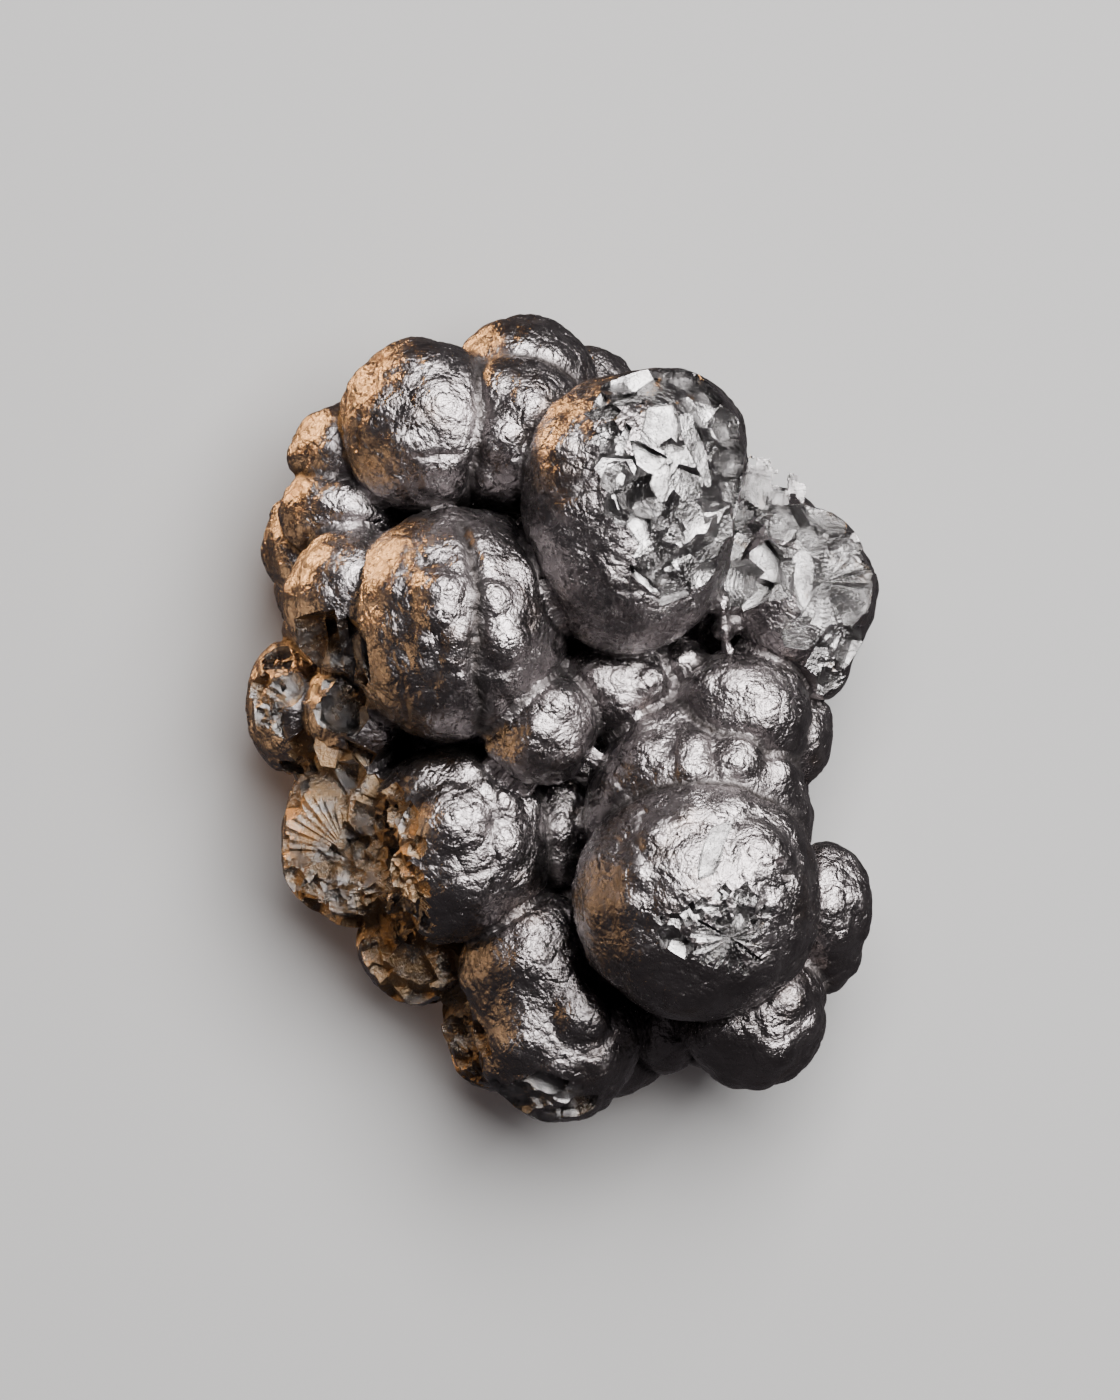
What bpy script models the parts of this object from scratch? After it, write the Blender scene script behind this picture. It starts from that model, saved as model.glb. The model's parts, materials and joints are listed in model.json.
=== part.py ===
# Botryoidal manganese ore: one solid piece of rounded, grape-like nodules that grew into each other.
# It lies on its broken back, and the nodules face up.
# For someone who looks down on it, +X is right and +Y is the far end.
# The tables are in millimetres and the model is in metres.
import math
import random

import bmesh
import bpy
import numpy as np
from mathutils import Matrix, Vector

MM = 0.001

# Each nodule: its centre and its three radii. The base is at z = 0.
NODULES = {
    "crown_left": ((-21.5, 47, 38), (14.2, 14.3, 15)),
    "crown_right": ((-7, 46, 39), (13, 13, 12.5)),
    "crown_back": ((-6, 54, 30), (11.5, 11.5, 12)),
    "shoulder_top": ((-34, 42, 30), (9.5, 9.5, 11)),
    "shoulder_low": ((-35.5, 33.5, 33), (9.5, 8.5, 10)),
    "rim_top": ((-40, 28, 24), (8, 9.5, 11)),
    "heart": ((-17, 15, 46), (18.5, 18.7, 18.5)),
    "heart_left": ((-34, 19, 42), (10, 12, 12)),
    "heart_low": ((-3, -1, 46), (9.5, 9.7, 10)),
    "rim_mid": ((-42, 2, 27), (9, 11, 12)),
    "neck": ((-33, 1, 36), (9, 9, 12)),
    "saddle": ((-17, -20, 38), (16, 16, 16)),
    "saddle_left": ((-32, -19, 30), (13.2, 15, 14)),
    "pocket": ((-1, -18, 33), (8, 9, 9)),
    "rim_low": ((-22, -36, 25), (11, 10, 12)),
    "foot_top": ((-4, -40, 35), (12, 12, 13)),
    "foot": ((0, -50.5, 33), (13.5, 14.5, 15)),
    "foot_left": ((-10, -50, 24), (9, 10.5, 12)),
    "globe": ((22, -28.5, 52), (20, 20, 20)),
    "globe_back": ((22, -15, 43), (18.5, 18.5, 17.5)),
    "knuckle": ((42.5, -30, 36), (7.7, 9.5, 10)),
    "knuckle_low": ((42, -37, 31), (7, 7.5, 9)),
    "heel": ((31, -47, 36), (12, 12.2, 13)),
    "heel_left": ((16, -49, 22), (8, 8.5, 10)),
    "cheek": ((29, 0, 44), (11.5, 11.5, 12)),
    "cheek_right": ((37, -3, 33), (7, 8, 10)),
    "hollow": ((9, 5, 40), (10.5, 9, 10)),
    "wedge": ((20, 9, 40), (5, 4, 6)),
    "dome": ((11, 38, 50), (17, 17.5, 17)),
    "dome_low": ((11, 27, 49), (16, 16.5, 16)),
    "dome_right": ((19.5, 44, 45), (10.3, 11, 12)),
    "horn": ((38, 21, 40), (12.7, 13.5, 14)),
    "horn_tip": ((41.5, 11, 37), (5.5, 8, 9)),
    "bead_high": ((26, 18.5, 48), (2, 3, 4)),
    "bead_low": ((26.2, 14.5, 47), (2.2, 2.6, 4)),
}

# Smaller nodules that stand round the sides, under the ones that show from above.
FLANK = {
    "flank_top": ((2, 50, 19), (12, 11, 12)),
    "flank_crown": ((-18, 46, 19), (13, 12, 13)),
    "flank_shoulder": ((-32, 36, 17), (10, 10, 11)),
    "flank_rim": ((-38, 22, 15), (8.5, 9, 10)),
    "flank_heart": ((-36, 13, 27), (9, 9, 10)),
    "flank_mid": ((-40, 4, 15), (9, 9, 10)),
    "flank_saddle": ((-35, -14, 15), (9, 10, 10)),
    "flank_low": ((-21, -33, 14), (10, 10, 10)),
    "flank_foot_left": ((-8, -47, 15), (10, 11, 11)),
    "flank_foot": ((7, -51, 17), (11, 11, 12)),
    "flank_heel": ((25, -46, 18), (12, 11, 12)),
    "flank_knuckle": ((37, -33, 19), (11, 11, 12)),
    "flank_globe": ((32, -15, 18), (9, 10, 12)),
    "flank_cheek": ((34, 0, 17), (9, 10, 11)),
    "flank_horn": ((38, 18, 21), (10.5, 11, 12)),
    "flank_ledge": ((33, 30, 21), (10, 8, 12)),
    "flank_dome": ((18, 43, 20), (11.5, 12, 13)),
}

# The massive ore inside, which the nodules grew on. Its lower half is what the piece broke off at.
CORE = {
    "core": ((0, 0, 13), (37, 47, 20)),
    "core_top": ((2, 27, 15), (30, 26, 19)),
    "core_low": ((6, -26, 15), (29, 26, 19)),
}

# Low caps on a nodule: x and y from its centre, how far the cap spreads, and how far it stands proud.
CAPS = {
    "crown_left": [(-9.5, 3, 6, 0.5), (3, 2, 7.5, 0.5), (-2, 9.5, 6, 0.35), (1.5, -8.5, 5, 0.45),
                   (-4.5, -8.5, 3.5, 0.4), (-6, -3.5, 4.5, 0.35), (-11, -3, 4, 0.4)],
    "crown_right": [(3, 4.5, 5.3, 0.75), (-2.5, -2.5, 4.5, 0.6), (-4.5, 7.5, 5.5, 0.35),
                    (1, -9, 5, 0.4), (8, -1, 4, 0.4), (-5, -8, 4, 0.35)],
    "crown_back": [(5, 4, 5, 0.6), (-2, 7, 5, 0.4), (-8, 5, 4, 0.4), (9, -1, 3.5, 0.4)],
    "shoulder_top": [(-4, 2.5, 4, 0.5), (-1, 6, 4, 0.4), (-6.5, -3, 3.5, 0.4)],
    "shoulder_low": [(-4, 2.5, 4, 0.5), (2.5, 0, 4.5, 0.4), (-6, -2.5, 3.5, 0.4)],
    "rim_top": [(-5, 2, 3, 0.4), (-5, -4, 3, 0.4)],
    "heart": [(-2, 4.5, 5.2, 0.75), (-0.2, -2.3, 3.3, 0.5), (-0.5, -5.5, 3.2, 0.45), (-7, -3.5, 3.2, 0.4),
              (-5, -7, 2.8, 0.4), (6.5, 5, 3.6, 0.6), (8.5, -3.2, 4.4, 0.8), (7.5, -8.5, 3.4, 0.4),
              (0.5, -10.5, 4.2, 0.6), (4, 13, 6, 0.5), (-10, -12.5, 5.5, 0.45), (13, 3, 6, 0.35),
              (-9, 7, 6, 0.35), (-3, 13.5, 5, 0.3), (-13, 0, 5, 0.4), (1.5, 9.5, 3, 0.35), (8, -14, 6, 0.4)],
    "heart_left": [(-2, 7, 5, 0.4), (-6, 1, 4, 0.4), (3, 4, 5, 0.5), (-3, -6, 4, 0.4)],
    "rim_mid": [(-2.5, 1, 5, 0.5), (-5.5, 6, 3, 0.4), (-6.5, -2, 3, 0.4)],
    "heart_low": [(3, 4, 4, 0.7), (-1.5, -1.5, 4.5, 0.6), (4, -4.5, 4, 0.4), (-4, -6, 3.5, 0.35)],
    "saddle": [(-0.5, 4.5, 6.7, 0.85), (8, 6, 3.6, 0.5), (8.5, -2, 4.5, 0.5), (-9, 11.5, 5, 0.5),
               (1.5, 13, 4, 0.5), (13, 7, 3.5, 0.5), (2, -9.5, 6, 0.4), (-7, -7, 5, 0.35)],
    "pocket": [(1, 0, 3.5, 0.6), (0, -6, 3, 0.4)],
    "foot_top": [(4, -1, 4, 0.6), (0, 6, 5, 0.4), (-6, 1, 4.5, 0.35)],
    "foot": [(3, 2.5, 5.4, 0.9), (-7, -1, 5, 0.4), (6.5, -6, 5, 0.4), (-1, -7.5, 4.5, 0.35), (9, 4, 4, 0.3)],
    "globe": [(-9, 5.5, 5.5, 0.6), (-9, -2.5, 5, 0.45), (-15, -1, 4.5, 0.4), (11, 6.5, 7, 0.7),
              (8, 8.5, 2.4, 0.4), (11, 5, 2.6, 0.4), (13.5, 7.3, 2.4, 0.4), (12.5, -0.5, 3.8, 0.5),
              (-3, 12.5, 6.5, 0.35), (6, 15.5, 5.5, 0.4), (-9, -13, 7, 0.3), (16, 2, 4.5, 0.4),
              (-1, 2, 6, 0.3), (-14, 9, 5, 0.3)],
    "globe_back": [(7, 10.5, 5.3, 0.8), (-3.5, 10.5, 4.5, 0.5), (-9, 8.5, 5, 0.45),
                   (13.5, 6.5, 4.4, 0.6), (1, 14, 4.4, 0.4), (-14, 5, 4.5, 0.4)],
    "knuckle": [(1.5, 0, 4, 0.5), (5.5, 1.5, 3.4, 0.5), (3, -6, 3.4, 0.4)],
    "knuckle_low": [(3, -2, 3, 0.4)],
    "heel": [(6, 3, 5, 0.6), (-6, -4, 5, 0.3), (4, -6.5, 4.4, 0.5), (8, -2, 3.4, 0.4)],
    "cheek": [(5, 1.5, 5, 0.6), (-6, 5.5, 3.6, 0.5), (-2, 7, 3.4, 0.4), (7.5, -5, 3.6, 0.4)],
    "cheek_right": [(3.5, 0, 3.5, 0.5)],
    "hollow": [(6, 1, 3.6, 0.9), (-4, 2, 4, 0.5), (1, -4, 4.4, 0.4)],
    "dome": [(-11.5, 4.5, 6.6, 0.7), (-5, 11, 6, 0.35)],
    "dome_low": [(-10, 4, 5.8, 0.7), (-3, -6.5, 5.5, 0.4), (3.5, -12, 5.2, 0.5), (10, -9.5, 5.2, 0.5),
                 (-10, -5, 4.5, 0.35)],
    "horn": [(-4, -8, 6, 0.3)],
}
SIDE_CAPS = 9  # caps scattered round the outer side of each nodule
SIDE_CAP_TURN = 110  # degrees each way from straight outwards
SIDE_CAP_LIFT = (-0.5, 0.45)
SIDE_CAP_SPREAD = (3.2, 5.5)
SIDE_CAP_RISE = (0.25, 0.55)
SIDE_CAP_SEED = 11

# Flat facets where the top was chipped: x, y, how deep the chip bites, the facet's radius,
# and how far it leans towards +X and +Y.
CHIPS = [
    # the broken top of the dome
    (16.5, 46.5, 1.4, 4.2, 0.35, 0.35), (9.5, 44, 0.9, 2.6, 0.2, 0.3), (13.8, 41, 1.7, 3.2, 0.3, 0.2),
    (20, 42, 1.9, 3.4, 0.55, 0.15), (22, 31.5, 2.0, 5.0, 0.6, 0.1), (22.5, 24.5, 1.6, 3.8, 0.7, -0.2),
    (12.6, 29.5, 1.2, 3.0, 0.3, 0.1), (14, 34, 2.6, 2.2, -0.2, 0.0), (17, 28.5, 1.9, 3.0, 0.35, 0.1),
    (15, 23.5, 1.1, 3.0, 0.1, -0.3), (19, 21.5, 1.3, 3.2, 0.35, -0.45), (10.2, 51.2, 1.2, 3.6, 0.0, 0.9),
    (6.3, 49, 0.9, 2.4, -0.3, 0.7), (16, 37, 1.8, 3.2, 0.35, 0.3), (21, 47.5, 2.0, 4.0, 0.7, 0.5),
    (21.5, 37.5, 2.3, 3.6, 0.7, 0.25), (9, 34, 0.9, 2.4, 0.2, 0.1), (25, 49.5, 1.4, 3.4, 0.6, 0.6),
    (26.5, 44.5, 1.4, 3.6, 0.9, 0.3), (15.5, 53, 1.2, 3.6, 0.2, 0.9),
    # the horn on the right
    (32.8, 25.8, 2.2, 3.8, 0.3, 0.35), (28.8, 28.5, 2.0, 3.0, -0.2, 0.3), (28.8, 22, 3.0, 2.6, -0.7, 0.2),
    (31, 18.5, 1.5, 3.6, -0.4, 0.2), (38.5, 21.5, 1.6, 3.0, 0.3, 0.3), (41, 28, 2.2, 3.8, 0.2, 0.9),
    (37, 29, 1.8, 3.0, 0.1, 0.6), (46, 27.5, 2.0, 4.0, 0.8, 0.7), (35, 33.5, 2.0, 5.0, 0.1, 1.4),
    (43, 33, 2.0, 4.5, 0.3, 1.5), (42, 9, 1.5, 3.2, 0.6, -0.1),
    # the globe's chipped face
    (24.6, -20, 0.9, 3.4, 0.2, 0.3), (27, -23.5, 1.3, 2.2, 0.3, -0.1), (17.5, -34, 0.7, 2.6, 0.0, -0.6),
    # pits in the heart's left shoulder
    (-40, 12, 2.6, 3.4, 0.3, 0.1), (-34.5, 4, 3.0, 4.2, -0.1, 0.2), (-32.5, -1, 2.2, 3.4, -0.3, -0.2),
    (-37, -4, 2.4, 4.0, -0.4, 0.2),
    # the broken ground round the left fan
    (-40, -12, 3.0, 4.6, -0.3, 0.5), (-44, -10, 2.0, 3.4, -1.0, 0.3), (-27, -13.5, 1.6, 3.4, -0.6, 0.4),
    (-22.5, -21, 0.9, 3.8, -0.8, 0.1), (-30, -35.5, 3.0, 4.6, -0.8, -0.8), (-37, -31, 2.6, 4.0, -0.9, -0.8),
    (-17.8, -38, 1.5, 3.4, 0.3, 0.3), (-24, -41, 2.8, 5.0, -0.5, -0.6), (-18, -46, 2.2, 4.4, -0.7, -0.3),
    (-15.5, -53, 1.8, 4.4, -1.0, -0.5),
    # the chipped toe
    (-3, -59, 1.6, 4.0, 0.1, -0.6), (-7.5, -61.5, 1.6, 3.4, -0.4, -1.2), (3, -62.5, 1.4, 3.2, 0.4, -1.2),
]
CHIP_SIDES = (5, 6)
CHIP_SPREAD = (0.65, 1.2)  # how far each corner lies out, against the facet's radius
CORNER_SHIFT = 0.3  # how far a corner or a blade strays, against the step to the next one
CHIP_CLEARANCE = 1.4  # how far a chip's cutter stands above the surface that it bites
CHIP_SLOPE = (18, 48)  # how far its sides lean out, in degrees

# Radial fans, where a nodule split and shows the blades that grew from its centre:
# centre, the way the broken face looks, how far the blades reach, their number, and their relief.
FANS = {
    "left_fan": ((-34.5, -21.5, 37.5), (-0.62, -0.12, 0.78), 13.5, 30, 1.3),
    "globe_fan": ((27, -34.2, 70.2), (0.12, -0.66, 0.74), 8.5, 18, 0.7),
    "horn_fan": ((42, 22, 49.2), (0.78, -0.02, 0.62), 8.5, 18, 0.8),
}
FAN_RINGS = 2
FAN_HEIGHT = 0.75  # how high the cutter stands, against the blades' reach
FAN_FLARE = 1.1
BLADE_REACH = (0.82, 1.0)
BLADE_GROOVE = (0.35, 1)  # how high every second edge lies, against the relief
BLADE_CREST = (-0.9, -0.2)
BLADE_GROWTH = 0.8  # the power of the distance that the relief grows with
FAN_DISH = 0.10  # the broken face rises this much from its centre to its edge, per millimetre
FAN_SEED = 5

# The broken lower edge: chips all round it, which look outward and down.
RIM_CHIPS = 13
RIM_RADII = (31.5, 41)
RIM_HEIGHT = (2, 4.5)
RIM_DROOP = (0.9, 1.9)  # how far each looks down, against 1 outwards
RIM_CHIP_RADIUS = (8, 13)
RIM_CHIP_DEPTH = 13
RIM_SEED = 23

REST_BOX = (200, 200, 60)  # what is cut away under z = 0

# How finely the surface is kept.
BALL_STEPS = 4  # subdivisions of the ball that a nodule starts from
SMALL_NODULE = 6  # a nodule thinner than this has no caps on its sides
VOXEL = 1.0
KEEP_SHARE = 0.044  # of the fused surface's triangles

ORE_COLOUR = (0.115, 0.11, 0.108, 1)
ORE_ROUGHNESS = 0.38
ORE_METALLIC = 0.9


def clear_scene():
    for obj in list(bpy.data.objects):
        bpy.data.objects.remove(obj)


def surface_point(centre, radii, direction):
    """The point of a nodule's surface in a direction from its centre, and the normal there."""
    scaled = Vector(d / r for d, r in zip(direction, radii))
    offset = Vector(direction) / scaled.length
    normal = Vector(o / (r * r) for o, r in zip(offset, radii)).normalized()
    return Vector(centre) + offset, normal


def unit_ball():
    """The points and the triangles of a ball of radius 1, which every nodule is scaled from."""
    mesh = bmesh.new()
    bmesh.ops.create_icosphere(mesh, subdivisions=BALL_STEPS, radius=1)
    points = np.array([v.co for v in mesh.verts])
    triangles = np.array([[v.index for v in f.verts] for f in mesh.faces])
    mesh.free()
    return points, triangles


def cap_ball(centre, radii, direction, spread, rise):
    """A flatter ball that stands out of a nodule by the rise and meets it in a ring of the spread."""
    point, normal = surface_point(centre, radii, direction)
    nodule_radius = math.prod(radii) ** (1 / 3)
    cap_radius = 1 / (1 / nodule_radius + 2 * rise / spread**2)
    return point + normal * (rise - cap_radius), (cap_radius,) * 3


def direction_above(radii, dx, dy):
    """The direction from a nodule's centre to its upper surface over (dx, dy)."""
    height = math.sqrt(max(1 - (dx / radii[0]) ** 2 - (dy / radii[1]) ** 2, 0))
    return dx, dy, radii[2] * height


def side_caps(centre, radii, chance):
    """Caps scattered round a nodule's outer side."""
    outward = math.atan2(centre[1], centre[0])
    for _ in range(SIDE_CAPS):
        turn = outward + math.radians(chance.uniform(-SIDE_CAP_TURN, SIDE_CAP_TURN))
        direction = (math.cos(turn), math.sin(turn), chance.uniform(*SIDE_CAP_LIFT))
        spread = chance.uniform(*SIDE_CAP_SPREAD)
        yield cap_ball(centre, radii, direction, spread, chance.uniform(*SIDE_CAP_RISE))


def growth_balls():
    """The centre and the radii of every ball: nodules, their caps and the core."""
    chance = random.Random(SIDE_CAP_SEED)
    for name, (centre, radii) in {**NODULES, **FLANK}.items():
        yield centre, radii
        for dx, dy, spread, rise in CAPS.get(name, ()):
            yield cap_ball(centre, radii, direction_above(radii, dx, dy), spread, rise)
        if min(radii) > SMALL_NODULE:
            yield from side_caps(centre, radii, chance)
    yield from CORE.values()


def growth_object(material):
    """All balls overlapping in one mesh, which the remesh then fuses."""
    points, triangles = unit_ball()
    balls = list(growth_balls())
    all_points = np.concatenate([points * radii + np.array(centre) for centre, radii in balls]) * MM
    all_triangles = np.concatenate([triangles + i * len(points) for i in range(len(balls))])
    data = bpy.data.meshes.new("manganese_ore")
    data.from_pydata(all_points, [], all_triangles)
    data.materials.append(material)
    obj = bpy.data.objects.new("manganese_ore", data)
    bpy.context.scene.collection.objects.link(obj)
    return obj


def surface_height(x, y):
    """How high the nodules stand over (x, y)."""
    heights = []
    for (cx, cy, cz), (rx, ry, rz) in NODULES.values():
        inside = 1 - ((x - cx) / rx) ** 2 - ((y - cy) / ry) ** 2
        if inside > 0:
            heights.append(cz + rz * math.sqrt(inside))
    return max(heights, default=CORE["core"][0][2])


def object_from(mesh, name):
    bmesh.ops.scale(mesh, vec=(MM, MM, MM), verts=mesh.verts)
    data = bpy.data.meshes.new(name)
    mesh.to_mesh(data)
    mesh.free()
    obj = bpy.data.objects.new(name, data)
    bpy.context.scene.collection.objects.link(obj)
    return obj


def hide_cutter(obj, collection):
    obj.hide_render = True
    obj.display_type = "WIRE"
    bpy.context.scene.collection.objects.unlink(obj)
    collection.objects.link(obj)


def place(mesh, at, facing):
    """Moves a cutter's own origin to a point and turns its +Z the way it faces."""
    turned = Vector(facing).to_track_quat("Z", "Y").to_matrix().to_4x4()
    bmesh.ops.transform(mesh, matrix=Matrix.Translation(at) @ turned, verts=mesh.verts)


def chip_cutter(at, facing, radius, height, chance):
    """A splinter whose flat underside is the facet left in the ore. Its sides lean outwards."""
    mesh = bmesh.new()
    sides = chance.randint(*CHIP_SIDES)
    turn = chance.uniform(0, math.tau)
    for i in range(sides):
        angle = turn + math.tau * (i + chance.uniform(-CORNER_SHIFT, CORNER_SHIFT)) / sides
        low = radius * chance.uniform(*CHIP_SPREAD)
        high = low + height * math.tan(math.radians(chance.uniform(*CHIP_SLOPE)))
        mesh.verts.new((low * math.cos(angle), low * math.sin(angle), 0))
        mesh.verts.new((high * math.cos(angle), high * math.sin(angle), height))
    bmesh.ops.convex_hull(mesh, input=mesh.verts)
    bmesh.ops.recalc_face_normals(mesh, faces=mesh.faces)
    place(mesh, at, facing)
    return mesh


def fan_cutter(at, facing, reach, blades, relief, chance):
    """A pleated dish: its underside leaves the blades that radiate from one point."""
    mesh = bmesh.new()
    angles = [math.tau * (i + chance.uniform(-CORNER_SHIFT, CORNER_SHIFT)) / blades for i in range(blades)]
    pleats = [relief * chance.uniform(*(BLADE_GROOVE if i % 2 else BLADE_CREST)) for i in range(blades)]
    reaches = [reach * chance.uniform(*BLADE_REACH) for _ in range(blades)]

    def ring(share, height_of):
        points = []
        for angle, pleat, blade in zip(angles, pleats, reaches):
            out = blade * share
            place_of = (out * math.cos(angle), out * math.sin(angle), height_of(out, pleat))
            points.append(mesh.verts.new(place_of))
        return points

    low_centre = mesh.verts.new((0, 0, 0))
    top_centre = mesh.verts.new((0, 0, reach * FAN_HEIGHT))
    rings = []
    for step in range(1, FAN_RINGS + 1):
        share = step / FAN_RINGS
        rings.append(ring(share, lambda out, pleat: FAN_DISH * out + pleat * share**BLADE_GROWTH))
    rings.append(ring(FAN_FLARE, lambda out, pleat: reach * FAN_HEIGHT))
    for i in range(blades):
        j = (i + 1) % blades
        mesh.faces.new((low_centre, rings[0][j], rings[0][i]))
        for inner, outer in zip(rings, rings[1:]):
            mesh.faces.new((inner[i], inner[j], outer[j], outer[i]))
        mesh.faces.new((top_centre, rings[-1][i], rings[-1][j]))
    bmesh.ops.triangulate(mesh, faces=mesh.faces)
    bmesh.ops.recalc_face_normals(mesh, faces=mesh.faces)
    place(mesh, at, facing)
    return mesh


def base_cutter():
    """Everything under z = 0, so that the piece rests on the flat of its broken back."""
    mesh = bmesh.new()
    middle = Matrix.Translation((0, 0, -REST_BOX[2] / 2))
    bmesh.ops.create_cube(mesh, size=1, matrix=middle @ Matrix.Diagonal((*REST_BOX, 1)))
    return mesh


def make_cutters(collection):
    chance = random.Random(FAN_SEED)
    for name, (at, facing, reach, blades, relief) in FANS.items():
        mesh = fan_cutter(at, facing, reach, blades, relief, chance)
        hide_cutter(object_from(mesh, name), collection)
    for i, (x, y, bite, radius, lean_x, lean_y) in enumerate(CHIPS):
        at = (x, y, surface_height(x, y) - bite)
        mesh = chip_cutter(at, (lean_x, lean_y, 1), radius, bite + CHIP_CLEARANCE, chance)
        hide_cutter(object_from(mesh, f"chip_{i:02d}"), collection)
    chance = random.Random(RIM_SEED)
    for i in range(RIM_CHIPS):
        turn = math.tau * (i + chance.uniform(-CORNER_SHIFT, CORNER_SHIFT)) / RIM_CHIPS
        across = Vector((math.cos(turn), math.sin(turn), 0))
        at = (RIM_RADII[0] * across.x, RIM_RADII[1] * across.y, chance.uniform(*RIM_HEIGHT))
        facing = across - Vector((0, 0, chance.uniform(*RIM_DROOP)))
        mesh = chip_cutter(at, facing, chance.uniform(*RIM_CHIP_RADIUS), RIM_CHIP_DEPTH, chance)
        hide_cutter(object_from(mesh, f"rim_chip_{i:02d}"), collection)
    hide_cutter(object_from(base_cutter(), "base_plane"), collection)


def ore_material():
    material = bpy.data.materials.new("manganese_ore")
    material.use_nodes = True
    shader = material.node_tree.nodes["Principled BSDF"]
    shader.inputs["Base Color"].default_value = ORE_COLOUR
    shader.inputs["Roughness"].default_value = ORE_ROUGHNESS
    shader.inputs["Metallic"].default_value = ORE_METALLIC
    return material


def add_cut(obj, cutters):
    cut = obj.modifiers.new("cut", "BOOLEAN")
    cut.operation = "DIFFERENCE"
    cut.solver = "EXACT"
    cut.operand_type = "COLLECTION"
    cut.collection = cutters


def bodies_of(mesh):
    """The points of each separate body in a mesh."""
    left = set(mesh.verts)
    while left:
        front = [left.pop()]
        body = []
        while front:
            point = front.pop()
            body.append(point)
            for edge in point.link_edges:
                other = edge.other_vert(point)
                if other in left:
                    left.remove(other)
                    front.append(other)
        yield body


def drop_splinters(obj):
    """Applies the modifiers, and deletes the splinters that the chips cut free."""
    mesh = bmesh.new()
    mesh.from_object(obj, bpy.context.evaluated_depsgraph_get())
    bodies = sorted(bodies_of(mesh), key=len)
    for splinter in bodies[:-1]:
        bmesh.ops.delete(mesh, geom=splinter, context="VERTS")
    obj.modifiers.clear()
    mesh.to_mesh(obj.data)
    mesh.free()


def main():
    clear_scene()
    ore = growth_object(ore_material())
    fuse = ore.modifiers.new("fuse", "REMESH")
    fuse.mode = "VOXEL"
    fuse.voxel_size = VOXEL * MM
    cutters = bpy.data.collections.new("cutters")
    bpy.context.scene.collection.children.link(cutters)
    make_cutters(cutters)
    thin = ore.modifiers.new("thin", "DECIMATE")
    thin.ratio = KEEP_SHARE
    add_cut(ore, cutters)
    drop_splinters(ore)


main()
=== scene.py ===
import json
import math
import random
import time

import bmesh
import bpy
import numpy as np
from mathutils import Matrix, Vector
from mathutils.bvhtree import BVHTree

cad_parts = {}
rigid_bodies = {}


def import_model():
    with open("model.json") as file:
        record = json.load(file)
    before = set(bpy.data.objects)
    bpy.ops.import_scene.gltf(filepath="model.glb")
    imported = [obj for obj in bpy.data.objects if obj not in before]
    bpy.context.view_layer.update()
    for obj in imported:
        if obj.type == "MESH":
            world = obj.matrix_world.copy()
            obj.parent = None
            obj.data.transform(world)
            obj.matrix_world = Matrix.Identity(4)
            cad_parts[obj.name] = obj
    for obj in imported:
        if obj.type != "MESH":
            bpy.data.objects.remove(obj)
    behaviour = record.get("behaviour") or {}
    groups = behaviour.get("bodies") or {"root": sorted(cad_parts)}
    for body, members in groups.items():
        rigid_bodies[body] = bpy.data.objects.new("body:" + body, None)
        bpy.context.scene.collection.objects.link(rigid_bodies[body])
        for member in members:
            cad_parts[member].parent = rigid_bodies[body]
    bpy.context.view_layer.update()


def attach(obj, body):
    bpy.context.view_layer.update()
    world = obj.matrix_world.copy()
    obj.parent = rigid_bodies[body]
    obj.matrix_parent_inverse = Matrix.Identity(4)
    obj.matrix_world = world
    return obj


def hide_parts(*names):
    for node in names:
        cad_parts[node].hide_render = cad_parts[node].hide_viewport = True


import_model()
startTime = time.time()

mm = 0.001  # tables below are in millimetres, meshes are in metres


def say(text):
    print(f"{time.time() - startTime:6.1f} s  {text}")


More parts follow.
